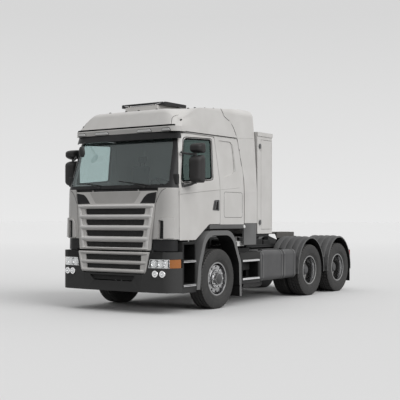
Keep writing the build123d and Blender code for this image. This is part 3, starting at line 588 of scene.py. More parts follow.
def tyre_profile(width):
    """(x, radius, tread level) from the inner bead out over the crown and back inside."""
    h = width / 2
    bead = BEAD_SHARE * width
    wall = ((0.93, 0.33, 0), (0.945, 0.335, 0), (0.985, 0.372, 0), (0.997, 0.40, 0), (1.0, 0.415, 0),
            (1.0, 0.427, 0), (0.99, 0.455, 0), (0.965, 0.482, 0), (0.935, 0.497, 1), (0.905, 0.513, 1),
            (0.862, 0.5225, 1))
    side = [(bead, 0.287, 0), (bead + 0.012, 0.297, 0)]
    side += [(h * share, r, level) for share, r, level in wall]
    crown = []
    for groove in (0.66, 0.22):
        edge = h * groove
        crown += [(edge + 0.009, 0.5245, 1), (edge + 0.005, 0.512, 0), (edge - 0.005, 0.512, 0),
                  (edge - 0.009, 0.525, 2)]
    crown.append((0.0, 0.525, 2))
    half = side + crown
    left = [(-x, r, level) for x, r, level in half[:-1]][::-1]
    inside = [(-bead + 0.02, 0.287, 0), (-h + 0.03, 0.40, 0), (h - 0.03, 0.40, 0), (bead - 0.02, 0.287, 0)]
    return half + left + inside


# How deep the cuts across the tread are at each level of the profile, on a steered and on a driven tyre.
CUT_DEPTHS = {False: (0.0, 0.009, 0.0), True: (0.0, 0.009, 0.011)}
# Radians that a cut turns per metre across the tread.
CUT_LEAN = 0.35


def tyre_mesh(centre, width, pitches, drive):
    """A truck tyre with ribs, shoulder lugs and, on a driven axle, cuts across its centre blocks."""
    profile = tyre_profile(width)
    cx, cy, cz = centre
    rings = []
    for k in range(pitches):
        for part, cut in ((0.0, False), (0.72, False), (0.78, True), (0.94, True)):
            a = 2 * math.pi * (k + part) / pitches
            ring = []
            for x, r, level in profile:
                depth = CUT_DEPTHS[drive][level] if cut else 0.0
                angle = a + (CUT_LEAN * x if level else 0.0)
                ring.append((cx + x, cy + (r - depth) * math.cos(angle),
                             cz + (r - depth) * math.sin(angle)))
            rings.append(ring)
    bm = loft(rings, caps=False, closed=True)
    marks = []
    for low, high in ((0.004 - width / 2, 0.0005 - width / 2), (width / 2 - 0.004, width / 2 - 0.0005)):
        for r in (0.345, 0.442):
            marks.append(revolve([(low, r), (high, r + 0.003), (low, r + 0.006)], centre, steps=72))
    return merged([bm, *marks])


def nut_ring(centre, radius, x0, x1, count, size, turn=0.0):
    parts = []
    cx, cy, cz = centre
    for k in range(count):
        a = 2 * math.pi * k / count + turn
        y, z = cy + radius * math.cos(a), cz + radius * math.sin(a)
        profile = [(x0, size * 1.35), (x0 + 0.004, size * 1.35), (x0 + 0.005, size),
                   (x1 - 0.004, size * 0.92), (x1, size * 0.6), (x1, 0.0), (x0, 0.0)]
        parts.append(revolve(profile, (cx, y, z), steps=6))
    return merged(parts)


FRONT_TYRE_WIDTH, FRONT_PITCHES = 0.315, 54
DRIVE_TYRE_WIDTH, DRIVE_PITCHES = 0.3, 46
HAND_HOLE_CIRCLE = 0.2135


def dress_front_wheels():
    centre = (FRONT_WHEEL_X, 0.0, WHEEL_Z)
    body = "wheel_front_{side}"
    tyre = tyre_mesh(centre, FRONT_TYRE_WIDTH, FRONT_PITCHES, False)
    emit_pair("tread_front", tyre, body, "tyre", RUBBER, replaces=("tyre_front_{side}",))
    emit_pair("nuts_front", nut_ring(centre, 0.142, 0.126, 0.158, 10, 0.017), body, "rim_aluminium", ALLOY)
    cap = revolve([(0.165, 0.0), (0.165, 0.092), (0.17, 0.092), (0.176, 0.086), (0.18, 0.07),
                   (0.186, 0.066), (0.192, 0.05), (0.195, 0.02), (0.195, 0.0)], centre)
    emit_pair("hub_cap_front", cap, body, "tank_paint", TANK)
    # The drum behind the hand holes takes the near-black shadow colour: painted shadow seen through the
    # holes.
    drum = revolve([(0.055, 0.12), (0.055, 0.262), (-0.05, 0.262), (-0.05, 0.12)], centre, steps=40)
    emit_pair("drum_front", drum, body, "cast_steel", GAP)
    lip = revolve([(0.121, 0.283), (0.129, 0.286), (0.132, 0.294), (0.128, 0.299), (0.121, 0.297)], centre,
                  steps=72)
    emit_pair("rim_edge_front", lip, body, "rim_steel", STEEL)
    holes = []
    for k in range(10):
        a = 2 * math.pi * (k + 0.5) / 10
        spot = (FRONT_WHEEL_X, HAND_HOLE_CIRCLE * math.cos(a), WHEEL_Z + HAND_HOLE_CIRCLE * math.sin(a))
        profile = [(0.088, 0.029), (0.096, 0.029), (0.098, 0.026), (0.094, 0.024), (0.088, 0.024)]
        holes.append(revolve(profile, spot, steps=20))
    emit_pair("hand_hole_edges", merged(holes), body, "rim_aluminium", ALLOY)


def dress_twins(axle, y):
    body = f"wheels_axle_{axle}_" + "{side}"
    outer, inner = (OUTER_TWIN_X, y, WHEEL_Z), (INNER_TWIN_X, y, WHEEL_Z)
    twins = merged([tyre_mesh(centre, DRIVE_TYRE_WIDTH, DRIVE_PITCHES, True) for centre in (outer, inner)])
    emit_pair(f"tread_axle_{axle}", twins, body, "tyre", RUBBER,
              replaces=(f"tyres_axle_{axle}_" + "{side}",))
    middle = ((OUTER_TWIN_X + INNER_TWIN_X) / 2, y, WHEEL_Z)
    emit_pair(f"nuts_axle_{axle}", nut_ring(middle, 0.178, 0.012, 0.04, 10, 0.016), body, "rim_steel",
              STEEL)
    cap = revolve([(0.188, 0.0), (0.188, 0.1), (0.196, 0.1), (0.204, 0.086), (0.222, 0.074), (0.228, 0.05),
                   (0.23, 0.0)], middle)
    bolts = nut_ring(middle, 0.092, 0.19, 0.204, 8, 0.009)
    emit_pair(f"hub_cap_axle_{axle}", merged([cap, bolts]), body, "rim_steel", TANK)
    lip = revolve([(0.114, 0.284), (0.122, 0.286), (0.126, 0.294), (0.122, 0.299), (0.114, 0.297)], outer,
                  steps=72)
    emit_pair(f"rim_edge_axle_{axle}", lip, body, "rim_steel", STEEL)
    barrel = revolve([(0.112, 0.2845), (0.085, 0.268), (0.02, 0.261), (-0.04, 0.255), (-0.04, 0.2585),
                      (0.02, 0.2645), (0.085, 0.2715)], outer, steps=72)
    emit_pair(f"rim_barrel_axle_{axle}", barrel, body, "rim_aluminium", ALLOY)


dress_front_wheels()
dress_twins(2, AXLE_2)
dress_twins(3, AXLE_3)


# Grille flap and lower grille

FLAP = ("grille_flap",)
SLOTS = ((1.652, 1.755), (1.469, 1.576), (1.279, 1.390), (1.096, 1.194))


def flap_half(z):
    """Half the flap's width inside its edge at a height."""
    return 0.72 + 0.15 * (z - 1.07)


def lower_half(z):
    """Half the lower grille's width inside its edge at a height."""
    return 0.695 + 0.218 * (z - 0.655)


def blade(top, bottom, half, rise, names, sunk=0.0):
    """A bar that fills the space between two slots, round in front and tucked into the slots."""
    rings = []
    steps = 40
    height = top - bottom
    for k in range(steps + 1):
        x = -half + 2 * half * k / steps
        spot, _ = touch(names, "front", x, bottom + height / 2)
        out = rise * min(1.0, (half - abs(x)) / 0.1 + 0.3) ** 0.5
        profile = ((-0.022, top + 0.004), (0.3 * out, top - 0.002), (0.85 * out, top - 0.16 * height),
                   (out, top - 0.34 * height), (0.92 * out, bottom + 0.42 * height),
                   (0.6 * out, bottom + 0.16 * height), (0.12 * out, bottom + 0.02 * height),
                   (-0.022, bottom - 0.002))
        rings.append([(x, spot.y + sunk - o, z) for o, z in profile])
    return loft(rings)


def column(side, half_at, z0, z1, width, rise, names, sunk=0.0):
    """An upright rounded strip at the end of a grille's bars."""
    rings = []
    steps = 24
    for k in range(steps + 1):
        t = k / steps
        z = z0 + (z1 - z0) * t
        x = side * (half_at(z) - width / 2)
        out = rise * min(1.0, 0.2 + 8 * min(t, 1 - t))
        spot, _ = touch(names, "front", x, z)
        y = spot.y + sunk
        ring = [(x - width / 2, y + 0.006, z)]
        for m in range(9):
            a = math.pi * m / 8
            ring.append((x - width / 2 * math.cos(a), y + 0.002 - out * math.sin(a) ** 0.7, z))
        ring.append((x + width / 2, y + 0.006, z))
        rings.append(ring)
    return loft(rings)


def slot_mesh(half, z0, z1, y, depth):
    """A dark plate with fine uprights behind a slot."""
    parts = [box_mesh(-half, half, y + depth, y + depth + 0.003, z0, z1)]
    count = int(2 * half / 0.028)
    for k in range(count + 1):
        x = -half + 2 * half * k / count
        parts.append(box_mesh(x - 0.0025, x + 0.0025, y + depth - 0.008, y + depth + 0.002, z0, z1))
    rows = 3
    for k in range(1, rows + 1):
        z = z0 + (z1 - z0) * k / (rows + 1)
        parts.append(box_mesh(-half, half, y + depth - 0.009, y + depth + 0.002, z - 0.003, z + 0.003))
    return merged(parts)


def dress_flap():
    gaps = [(1.822, SLOTS[0][1] + 0.004)]
    for (z0, _), (_, below) in zip(SLOTS, [*SLOTS[1:], (0, 1.066)]):
        gaps.append((z0 - 0.002, below + 0.004))
    bars = [blade(top, bottom, flap_half((top + bottom) / 2), 0.036, FLAP) for top, bottom in gaps]
    bars.extend(column(side, flap_half, 1.075, 1.815, 0.06, 0.022, FLAP) for side in (-1, 1))
    # The bars take the lighter copy of the paint, a painted highlight.
    emit("flap_bars", merged(bars), "grille_flap", "cab_paint", PAINT_LIT_BAR)
    meshes = []
    for z0, z1 in SLOTS:
        spot, _ = touch(FLAP, "front", 0.0, z0 - 0.02)
        meshes.append(slot_mesh(0.70, z0 - 0.012, z1 + 0.012, spot.y, 0.045))
    emit("flap_mesh", merged(meshes), "grille_flap", "black_plastic", BLACK)
    wedge = rounded([(0.55, 1.838), (0.853, 1.836), (0.882, 2.024), (0.70, 2.0, 0.05), (0.63, 1.94)], 0.008)
    for side, outline in (("left", wedge), ("right", mirror_outline(wedge))):
        emit(f"flap_wedge_{side}", skin(outline, "front", FLAP, 0.003, 0.004), "grille_flap",
             "dark_plastic", BLACK)
    badge = rounded([(-0.425, 1.845), (0.425, 1.845), (0.565, 2.035), (-0.565, 2.035)], 0.03)
    # The recess and its edge line are a thin plate and a tube in the darker paint: painted shade, not a cut.
    emit("flap_recess", skin(badge, "front", FLAP, 0.0015, 0.004), "grille_flap", "cab_paint", PAINT_IN_SHADE)
    emit("flap_recess_edge", seam(badge, "front", FLAP, 0.003, closed=True), "grille_flap", "cab_paint",
         PAINT_IN_SHADE)


dress_flap()


def dress_bumper_grille():
    names = ("bumper_grille",)
    depth = 0.024
    slots = ((0.875, 0.970, 0.64), (0.735, 0.810, 0.62))
    bars = [blade(top, bottom, lower_half((top + bottom) / 2) + 0.012, depth, names, depth)
            for top, bottom in ((1.024, 0.974), (0.873, 0.814), (0.731, 0.668))]
    bars.extend(column(side, lambda z: lower_half(z) + 0.014, 0.672, 1.022, 0.06, depth, names, depth)
                for side in (-1, 1))
    meshes = []
    for z0, z1, half in slots:
        spot, _ = touch(names, "front", 0.0, z0 - 0.02)
        meshes.append(slot_mesh(half, z0 - 0.012, z1 + 0.012, spot.y, 0.055))
        for side in (-1, 1):
            x = side * (half - 0.03)
            reach = side * (lower_half(z0) - 0.02)
            spot, _ = touch(names, "front", x, z0 - 0.02)
            bars.append(box_mesh(x, reach, spot.y + depth, spot.y + 0.05, z0 - 0.01, z1 + 0.01))
    emit("lower_grille_bars", merged(bars), "chassis", "cab_paint", PAINT, replaces=names)
    emit("lower_grille_mesh", merged(meshes), "chassis", "black_plastic", BLACK)


dress_bumper_grille()


# Lamps

def bumper_line(inset, points=14):
    """The bumper's plan from its middle round to its side, as (x, y)."""
    half, front, r = 1.24 - inset, -1.475 + inset, 0.23 - inset
    corner = Vector((half, front + 0.06))
    start = Vector((0.6, front))
    side = Vector((half, -1.15))
    into = (start - corner).normalized()
    out = (side - corner).normalized()
    angle = into.angle(out)
    reach = r / math.tan(angle / 2)
    first, last = corner + into * reach, corner + out * reach
    centre = corner + (into + out).normalized() * (r / math.sin(angle / 2))
    line = [Vector((0.0, front)), start]
    for k in range(1, 4):
        line.append(start.lerp(first, k / 4))
    a0 = math.atan2(first.y - centre.y, first.x - centre.x)
    a1 = math.atan2(last.y - centre.y, last.x - centre.x)
    for k in range(points + 1):
        a = a0 + (a1 - a0) * k / points
        line.append(Vector((centre.x + r * math.cos(a), centre.y + r * math.sin(a))))
    line.append(side)
    return line


def line_length(line):
    return sum((b - a).length for a, b in zip(line, line[1:]))


def along(line, distance):
    for a, b in zip(line, line[1:]):
        step = (b - a).length
        if distance <= step:
            return a.lerp(b, distance / step)
        distance -= step
    return line[-1]


def distance_at_x(line, x):
    total = 0.0
    for a, b in zip(line, line[1:]):
        if a.x <= x <= b.x:
            return total + (b - a).length * (x - a.x) / max(1e-9, b.x - a.x)
        total += (b - a).length
    return total


def band_sheet(bm, line, scale, heights, spans):
    """Rows of points along the bumper line. spans gives each row's distances."""
    sheet = []
    for z, distances in zip(heights, spans):
        spots = [along(line, distance * scale) for distance in distances]
        sheet.append([bm.verts.new((spot.x, spot.y, z)) for spot in spots])
    return sheet


def band(inset, depth, z0, z1, start, end, columns=24, rows=4):
    """A strip along the bumper between two heights. start and end give distances along it at a height."""
    outer, inner = bumper_line(inset), bumper_line(inset + depth)
    heights = [z0 + (z1 - z0) * j / rows for j in range(rows + 1)]
    spans = [[start(z) + (end(z) - start(z)) * i / columns for i in range(columns + 1)] for z in heights]
    bm = bmesh.new()
    front = band_sheet(bm, outer, 1.0, heights, spans)
    back = band_sheet(bm, inner, line_length(inner) / line_length(outer), heights, spans)
    for j in range(rows):
        for i in range(columns):
            bm.faces.new((front[j][i], front[j][i + 1], front[j + 1][i + 1], front[j + 1][i]))
            bm.faces.new((back[j][i], back[j + 1][i], back[j + 1][i + 1], back[j][i + 1]))
    for i in range(columns):
        bm.faces.new((front[0][i], back[0][i], back[0][i + 1], front[0][i + 1]))
        bm.faces.new((front[rows][i], front[rows][i + 1], back[rows][i + 1], back[rows][i]))
    for j in range(rows):
        bm.faces.new((front[j][0], front[j + 1][0], back[j + 1][0], back[j][0]))
        bm.faces.new((front[j][columns], back[j][columns], back[j + 1][columns], front[j + 1][columns]))
    return bm


def dress_headlamps():
    line = bumper_line(0.0)
    low_z, high_z = 0.768, 0.909
    starts = (distance_at_x(line, 0.761), distance_at_x(line, 0.795))
    split = distance_at_x(line, 1.15)
    end = split + 0.225

    def lens_start(z):
        return starts[0] + (starts[1] - starts[0]) * (z - low_z) / (high_z - low_z)

    lens = band(0.003, 0.004, low_z, high_z, lens_start, lambda z: split - 0.003)
    emit_pair("headlamp_lens", lens, "chassis", "lamp_lens", CLEAR)
    back = band(0.05, 0.006, low_z, high_z, lens_start, lambda z: end)
    rims = [band(0.006, 0.046, z, z + 0.006, lens_start, lambda z: end, rows=1)
            for z in (low_z, high_z - 0.006)]
    rims.append(band(0.006, 0.046, low_z, high_z, lens_start, lambda z: lens_start(z) + 0.006, columns=2))
    rims.append(band(0.006, 0.046, low_z, high_z, lambda z: split - 0.006, lambda z: split, columns=2))
    emit_pair("headlamp_case", merged([back, *rims]), "chassis", "lamp_lens", REFLECTOR,
              replaces=("headlamps",))
    bowls = []
    for x, r in ((0.865, 0.062), (1.0, 0.062)):
        centre = (x, along(line, distance_at_x(line, x)).y + 0.002, 0.838)
        bowls.append(revolve([(0.012, r), (0.02, r * 0.97), (0.032, r * 0.8), (0.042, r * 0.5),
                              (0.047, r * 0.25), (0.050, r * 0.25), (0.047, r * 0.55), (0.036, r * 0.9),
                              (0.02, r * 1.04), (0.012, r * 1.04)], centre, "Y", 40))
        bulb = [(0.018, 0.0), (0.019, 0.012), (0.03, 0.014), (0.048, 0.014), (0.048, 0.0)]
        bowls.append(revolve(bulb, centre, "Y", 20))
    emit_pair("headlamp_bowls", merged(bowls), "chassis", "lamp_lens", REFLECTOR)
    amber = band(0.003, 0.02, low_z, high_z, lambda z: split, lambda z: end)
    emit_pair("indicator", amber, "chassis", "lamp_lens", AMBER)


dress_headlamps()


def dress_fog_lamps():
    for k, (x, y) in enumerate(((0.905, -1.462), (1.04, -1.442))):
        centre = (x, y, 0.672)
        ring = revolve([(0.0, 0.058), (-0.006, 0.055), (-0.006, 0.036), (0.004, 0.033), (0.02, 0.034),
                        (0.02, 0.058)], centre, "Y", 32)
        emit_pair(f"fog_ring_{k}", ring, "chassis", "lamp_lens", REFLECTOR)
        bowl = revolve([(0.006, 0.033), (0.02, 0.026), (0.028, 0.012), (0.03, 0.0)], centre, "Y", 32)
        emit_pair(f"fog_bowl_{k}", bowl, "chassis", "lamp_lens", REFLECTOR)
        glass = revolve([(-0.004, 0.0), (-0.0035, 0.015), (-0.001, 0.034), (0.003, 0.034), (0.001, 0.015),
                         (0.0, 0.0)], centre, "Y", 32)
        emit_pair(f"fog_glass_{k}", glass, "chassis", "lamp_lens", CLEAR)


dress_fog_lamps()


# Cab dressing

HEADER = ("cab_roof",)
FRONT_FACE = ("windscreen", "cab_front")
CORNER = ("corner_panels",)
SIDES = ("left", "right")
WINDOW = ((-1.132, 2.168), (-0.163, 2.258), (-0.138, 2.977), (-0.968, 2.947))
PANE = ((-1.098, 2.2), (-0.19, 2.283), (-0.165, 2.95), (-0.95, 2.92))


def sign(side):
    return 1 if side == "left" else -1


def front_outline(outline, side):
    return outline if side == "left" else mirror_outline(outline)


# The deflector's front corners: where its top edge starts to come down, over what lengths, and how far.
DROP_X, DROP_X_LENGTH = 0.72, 0.33
DROP_Y, DROP_Y_LENGTH = -0.45, 0.5
DROP_DEPTH = 0.17
DROP_FOOT, DROP_HEIGHT = 3.135, 0.29
PINCH_Y, PINCH_SHARE = -0.6, 0.035


def clamp(value):
    return max(0.0, min(1.0, value))


def corner_drop(x, y):
    """How far the deflector's top edge comes down towards its front corners."""
    reach = clamp((abs(x) - DROP_X) / DROP_X_LENGTH)
    fade = clamp((DROP_Y - y) / DROP_Y_LENGTH)
    return DROP_DEPTH * reach ** 2.4 * fade * fade * (3 - 2 * fade)


def round_roof():
    """The roof with the upper corners of its deflector drawn down, as the moulded panel has them."""
    bm = bmesh.new()
    bm.from_mesh(nodes["cab_roof"].data)
    bmesh.ops.translate(bm, vec=(0, -AXLE_Y, 0), verts=bm.verts)
    for axis, low, high, count in ((0, -1.12, 1.12, 44), (1, -1.2, -0.35, 16), (2, 3.14, 3.48, 12)):
        direction = Vector((0, 0, 0))
        direction[axis] = 1
        for k in range(count + 1):
            slice_mesh(bm, direction * (low + (high - low) * k / count), direction)
    for vert in bm.verts:
        x, y, z = vert.co
        share = clamp((z - DROP_FOOT) / DROP_HEIGHT)
        vert.co.z -= corner_drop(x, y) * share
        vert.co.x *= 1 - PINCH_SHARE * clamp((PINCH_Y - y) / DROP_Y_LENGTH) * share ** 2
    shape = bpy.data.meshes.new("round roof")
    bmesh.ops.translate(bm, vec=(0, AXLE_Y, 0), verts=bm.verts)
    bm.to_mesh(shape)
    bmesh.ops.translate(bm, vec=(0, -AXLE_Y, 0), verts=bm.verts)
    reshaped["cab_roof"] = shape
    emit("roof_skin", bm, "cab", "cab_paint", PAINT, replaces=("cab_roof",))


round_roof()


def wiper_section(t):
    """A wiper arm's section, which gets flatter towards the blade."""
    half = 0.009 - 0.004 * t
    return [(-0.004, -half), (0.004, -half), (0.004, half), (-0.004, half)]


def dress_wipers():
    parts = []
    for pivot, low, high in (((-0.35, 2.105), (-0.30, 2.145), (-0.86, 2.2)),
                             ((0.63, 2.105), (0.68, 2.14), (0.06, 2.215))):
        rubber = []
        for k in range(13):
            spot, normal = touch(FRONT_FACE, "front", *(a + (b - a) * k / 12 for a, b in zip(low, high)))
            rubber.append(spot + normal * 0.012)
        parts.append(tube(rubber, 0.007, 8))
        middle = rubber[6]
        base, normal = touch(FRONT_FACE, "front", *pivot)
        knuckle = base + normal * 0.03
        parts.append(tube([base - normal * 0.01, knuckle], 0.018, 12))
        arm = [knuckle, knuckle.lerp(middle, 0.4) + Vector((0, -0.022, 0)), middle + Vector((0, -0.016, 0))]
        parts.append(sweep(arm, wiper_section))
        parts.append(tube([middle + Vector((0, -0.02, 0)), middle], 0.01, 8))
    emit("wipers", merged(parts), "cab", "black_plastic", BLACK)


def dress_header():
    for k, (x, half) in enumerate(((0.47, 0.15), (0.93, 0.085))):
        outline = rounded([(x - half, 3.052), (x + half, 3.052), (x + half - 0.02, 3.09),
                           (x - half + 0.02, 3.09)], 0.012)
        rim = rounded([(x - half - 0.014, 3.045), (x + half + 0.014, 3.045), (x + half - 0.01, 3.098),
                       (x - half + 0.01, 3.098)], 0.014)
        for side in SIDES:
            lens = skin(front_outline(outline, side), "front", HEADER, 0.016, 0.004, 0.03)
            emit(f"marker_lamp_{k}_{side}", lens, "cab", "lamp_lens", WHITE, bevel=0.003)
            seat = skin(front_outline(rim, side), "front", HEADER, 0.005, 0.004, 0.03)
            emit(f"marker_seat_{k}_{side}", seat, "cab", "dark_plastic", TRIM)
    # A near-black band at the step under the deflector, and near-black lines at its ends: painted shadow.
    shadow = [(-1.07 + 0.107 * k, 3.139) for k in range(21)]
    emit("deflector_gap", seam(shadow, "front", HEADER, 0.017, sink=-0.002), "cab", "dark_plastic", GAP)
    edge = [(1.01, 3.15), (0.985, 3.2), (0.965, 3.26), (0.97, 3.3), (0.99, 3.33)]
    for side in SIDES:
        emit(f"deflector_seam_{side}", seam(front_outline(edge, side), "front", HEADER, 0.004), "cab",
             "dark_plastic", GAP)


def dress_roof_studs():
    studs = []
    profile = [(-0.01, 0.022), (0.006, 0.022), (0.012, 0.012), (0.016, 0.0), (-0.01, 0.0)]
    for x, y in ((0.52, -0.9), (0.14, -0.92), (0.72, -0.5), (0.93, -0.55), (1.0, -0.45), (1.02, -0.18),
                 (1.02, 0.1)):
        for way in (-1, 1):
            spot, _ = touch(HEADER, "top", way * x, y)
            studs.append(revolve(profile, spot, "Z", 12))
    emit("roof_studs", merged(studs), "cab", "black_plastic", BLACK)
    spot, _ = touch(HEADER, "left", -0.97, 3.23)
    profile = [(-0.012, 0.024), (0.003, 0.024), (0.006, 0.016), (0.002, 0.012), (0.002, 0.0), (-0.012, 0.0)]
    emit_pair("roof_plug", revolve(profile, spot, "X", 16), "cab", "black_plastic", BLACK)


def dress_hatch():
    low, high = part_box("roof_hatch")
    x0, x1, y0, y1 = low[0] + 0.06, high[0] - 0.06, low[1] - AXLE_Y + 0.06, high[1] - AXLE_Y - 0.05
    pane = skin(rounded([(x0, y0), (x1, y0), (x1, y1), (x0, y1)], 0.05), "top", ("roof_hatch",), 0.0006,
                0.004, 0.1)
    emit("hatch_glass", pane, "roof_hatch", "glass", BLACK)
    x0, x1, y0, y1 = x0 - 0.04, x1 + 0.04, y0 - 0.04, y1 + 0.03
    rim = rounded([(x0, y0), (x1, y0), (x1, y1), (x0, y1)], 0.05)
    strip = seam(rim, "top", ("roof_hatch",), 0.006, closed=True, sink=0.0055)
    emit("hatch_trim", strip, "roof_hatch", "rim_aluminium", TREAD_ALLOY)


DRIP_RAIL = ((-1.03, 2.99), (-1.0, 3.028), (-0.93, 3.042), (0.2, 3.046), (0.66, 3.048))
FAIRING_LINE = ((0.72, 3.052), (1.0, 3.07), (1.27, 3.088))
BELT_DOOR = ((-1.16, 1.985), (-0.6, 2.04), (0.02, 2.09))
BELT_REAR = ((0.055, 2.093), (0.4, 2.12), (0.69, 2.145))
FAIRING_JOINT = ((0.182, 3.6), (0.235, 3.52), (0.3, 3.415), (0.4, 3.37), (0.5, 3.33), (0.6, 3.22),
                 (0.688, 3.05), (0.74, 2.85), (0.79, 2.6), (0.835, 2.4), (0.856, 2.25), (0.86, 1.9),
                 (0.86, 1.52))
BLANK_SHADE = ((0.535, 2.93), (0.556, 2.8), (0.577, 2.6), (0.582, 2.46), (0.56, 2.425), (0.535, 2.44),
               (0.54, 2.6), (0.52, 2.8), (0.5, 2.92))
LOCKER = rounded([(0.165, 1.605), (0.775, 1.605), (0.775, 2.055), (0.165, 2.055)], 0.05)
HANDLE_PLATE = rounded([(-0.205, 1.73), (0.008, 1.722), (0.008, 1.912), (-0.148, 1.906)], 0.018)
HANDLE_SLOT = rounded([(-0.1, 1.742), (-0.045, 1.742), (-0.045, 1.878), (-0.083, 1.878)], 0.01)


def dress_side(side):
    """The lines and plates on one side of the cab and its door."""
    door = f"door_{side}"
    # The near-black tubes along the fairing joint and the locker outline are painted shadow in the gaps; the
    # fairing line and the belt creases in the darker paint are painted shade.
    dark, deep = ("dark_plastic", GAP), ("cab_paint", PAINT_IN_SHADE)
    for name, line, under, radius, closed, sink, body, look in (
        ("drip_rail", DRIP_RAIL, ("cab_sides", "cab_roof", "cab_front"), 0.0065, False, -0.001, "cab", dark),
        ("fairing_line", FAIRING_LINE, ("rear_fairing",), 0.003, False, 0.001, "cab", deep),
        ("belt_door", BELT_DOOR, (door,), 0.007, False, 0.002, door, deep),
        ("belt_rear", BELT_REAR, ("cab_sides",), 0.005, False, 0.002, "cab", deep),
        ("fairing_joint", FAIRING_JOINT, ("cab_roof", "rear_fairing", "cab_sides"), 0.005, False, 0.001,
         "cab", dark),
        ("locker", LOCKER, ("cab_sides",), 0.0032, True, 0.001, "cab", dark),
        ("window_seal", rounded(WINDOW, 0.06), (door,), 0.013, True, 0.009, door, ("black_plastic", GAP)),
        ("glass_seal", rounded(PANE, 0.05), (f"door_glass_{side}",), 0.015, True, 0.004, door,
         ("black_plastic", GAP)),
    ):
        emit(f"{name}_{side}", seam(line, side, under, radius, closed, sink), body, *look)
    shade = skin(BLANK_SHADE, side, ("cab_sides",), 0.002, 0.004)
    emit(f"blank_shade_{side}", shade, "cab", "cab_paint", PAINT_IN_SHADE)
    plate = skin(HANDLE_PLATE, side, (door,), 0.005, 0.004)
    emit(f"handle_plate_{side}", plate, door, "dark_plastic", TRIM, bevel=0.002)
    emit(f"handle_slot_{side}", skin(HANDLE_SLOT, side, (door,), 0.0075, 0.003), door, "black_plastic", GAP)
    spot, _ = touch((door,), side, -0.05, 1.82)
    x = spot.x + 0.016 * sign(side)
    grip = [(spot.x, -0.14, 1.748), (x, -0.136, 1.762), (x, -0.125, 1.82), (x, -0.114, 1.878),
            (spot.x, -0.112, 1.892)]
    emit(f"handle_grip_{side}", tube(grip, 0.011, 10), door, "dark_plastic", TANK)


WALL_MIDDLE = Vector((0, 1.2, 2.4))
WALL_FOOT = 1.5
# Stands for the reach of a ray that leaves through the fairing's open foot.
OPEN_REACH = 9.0


def dress_rear_wall():
    """Closes the cab's open back inside the fairing: paint outside, lining inside."""
    outline = []
    for k in range(72):
        angle = math.tau * (k + 0.5) / 72
        way = Vector((math.cos(angle), 0, math.sin(angle)))
        reach = surface(("rear_fairing",)).ray_cast(WALL_MIDDLE, way)[3] or OPEN_REACH
        if way.z < 0:
            reach = min(reach, (WALL_FOOT - WALL_MIDDLE.z) / way.z)
        spot = WALL_MIDDLE + (reach + 0.004) * way
        outline.append((spot.x, spot.z))
    emit("rear_wall", prism(outline, "Y", 1.192, 1.212), "cab", "cab_paint", PAINT)
    emit("rear_lining", prism(outline, "Y", 1.17, 1.191), "cab", "dash_plastic", LINING)
    ribs = [box_mesh(-0.95, 0.95, 1.205, 1.222, z - 0.02, z + 0.02) for z in (1.75, 2.15, 2.55, 2.95)]
    emit("rear_ribs", merged(ribs), "cab", "cab_paint", PAINT, bevel=0.006)


BULGE = ((0.868, 1.255), (0.885, 1.46), (0.905, 1.53), (0.945, 1.575), (1.0, 1.594), (1.08, 1.598),
         (1.172, 1.59), (1.172, 1.255), (1.046, 1.255), (1.042, 1.545), (1.03, 1.556), (0.955, 1.556),
         (0.944, 1.545), (0.935, 1.255))
CREST = ((0.868, 1.41), (0.879, 1.47), (0.905, 1.54), (0.945, 1.587), (1.0, 1.606), (1.08, 1.611),
         (1.16, 1.604))
CORNER_SEAM = ((0.878, 1.85), (0.93, 1.975), (0.985, 2.045), (1.05, 2.082))


def dress_corner(side):
    """The bulge round a corner panel's intake, its seams and the vent in it."""
    bulge = skin(front_outline(BULGE, side), "front", CORNER, 0.034, 0.004)
    # The bulge takes the darker paint of the corner panels: painted shade.
    emit(f"corner_bulge_{side}", bulge, "cab", "cab_paint", PAINT_CORNER_SHADED, bevel=0.014)
    # The seam line in near black is painted shadow in the panels' joint.
    line = seam(front_outline(CORNER_SEAM, side), "front", CORNER, 0.004)
    emit(f"corner_seam_{side}", line, "cab", "dark_plastic", GAP)
    # The crest line in the darker paint is painted shade along the top of the bulge.
    crest = seam(front_outline(CREST, side), "front", CORNER, 0.005)
    emit(f"corner_crest_{side}", crest, "cab", "cab_paint", PAINT_IN_SHADE)
    x0, x1 = sorted((0.94 * sign(side), 1.04 * sign(side)))
    front, _ = touch(CORNER, "front", 0.93 * sign(side), 1.4)
    backs = [box_mesh(x0, x1, front.y + 0.033, front.y + 0.039, 1.25, 1.55)]
    for k in range(9):
        z = 1.27 + 0.032 * k
        backs.append(box_mesh(x0, x1, front.y + 0.022, front.y + 0.034, z - 0.004, z + 0.004))
    emit(f"corner_vent_{side}", merged(backs), "cab", "black_plastic", BLACK)


def dress_mirror_feet():
    """The black foot of the mirror arms on each windscreen pillar."""
    foot = box_mesh(1.11, 1.2, -1.245, -1.18, 2.15, 2.32)
    emit_pair("mirror_foot", foot, "cab", "dark_plastic", BLACK, bevel=0.014)


def dress_front_mirror():
    shell = []
    for k in range(13):
        t = k / 12
        z = 2.665 + 0.18 * t
        size = math.sin(math.pi * (0.06 + 0.88 * t)) ** 0.5
        shell.append([(-0.80 + 0.062 * size * a, -1.33 + 0.045 * size * b - 0.02 * t, z)
                      for a, b in ring_of(1, 16)])
    arm = tube([(-0.88, -1.17, 2.935), (-0.87, -1.24, 2.9), (-0.83, -1.31, 2.86), (-0.80, -1.34, 2.82)],
               0.013, 10)
    emit("front_mirror", merged([loft(shell), arm]), "cab", "black_plastic", MIRROR_CASE)


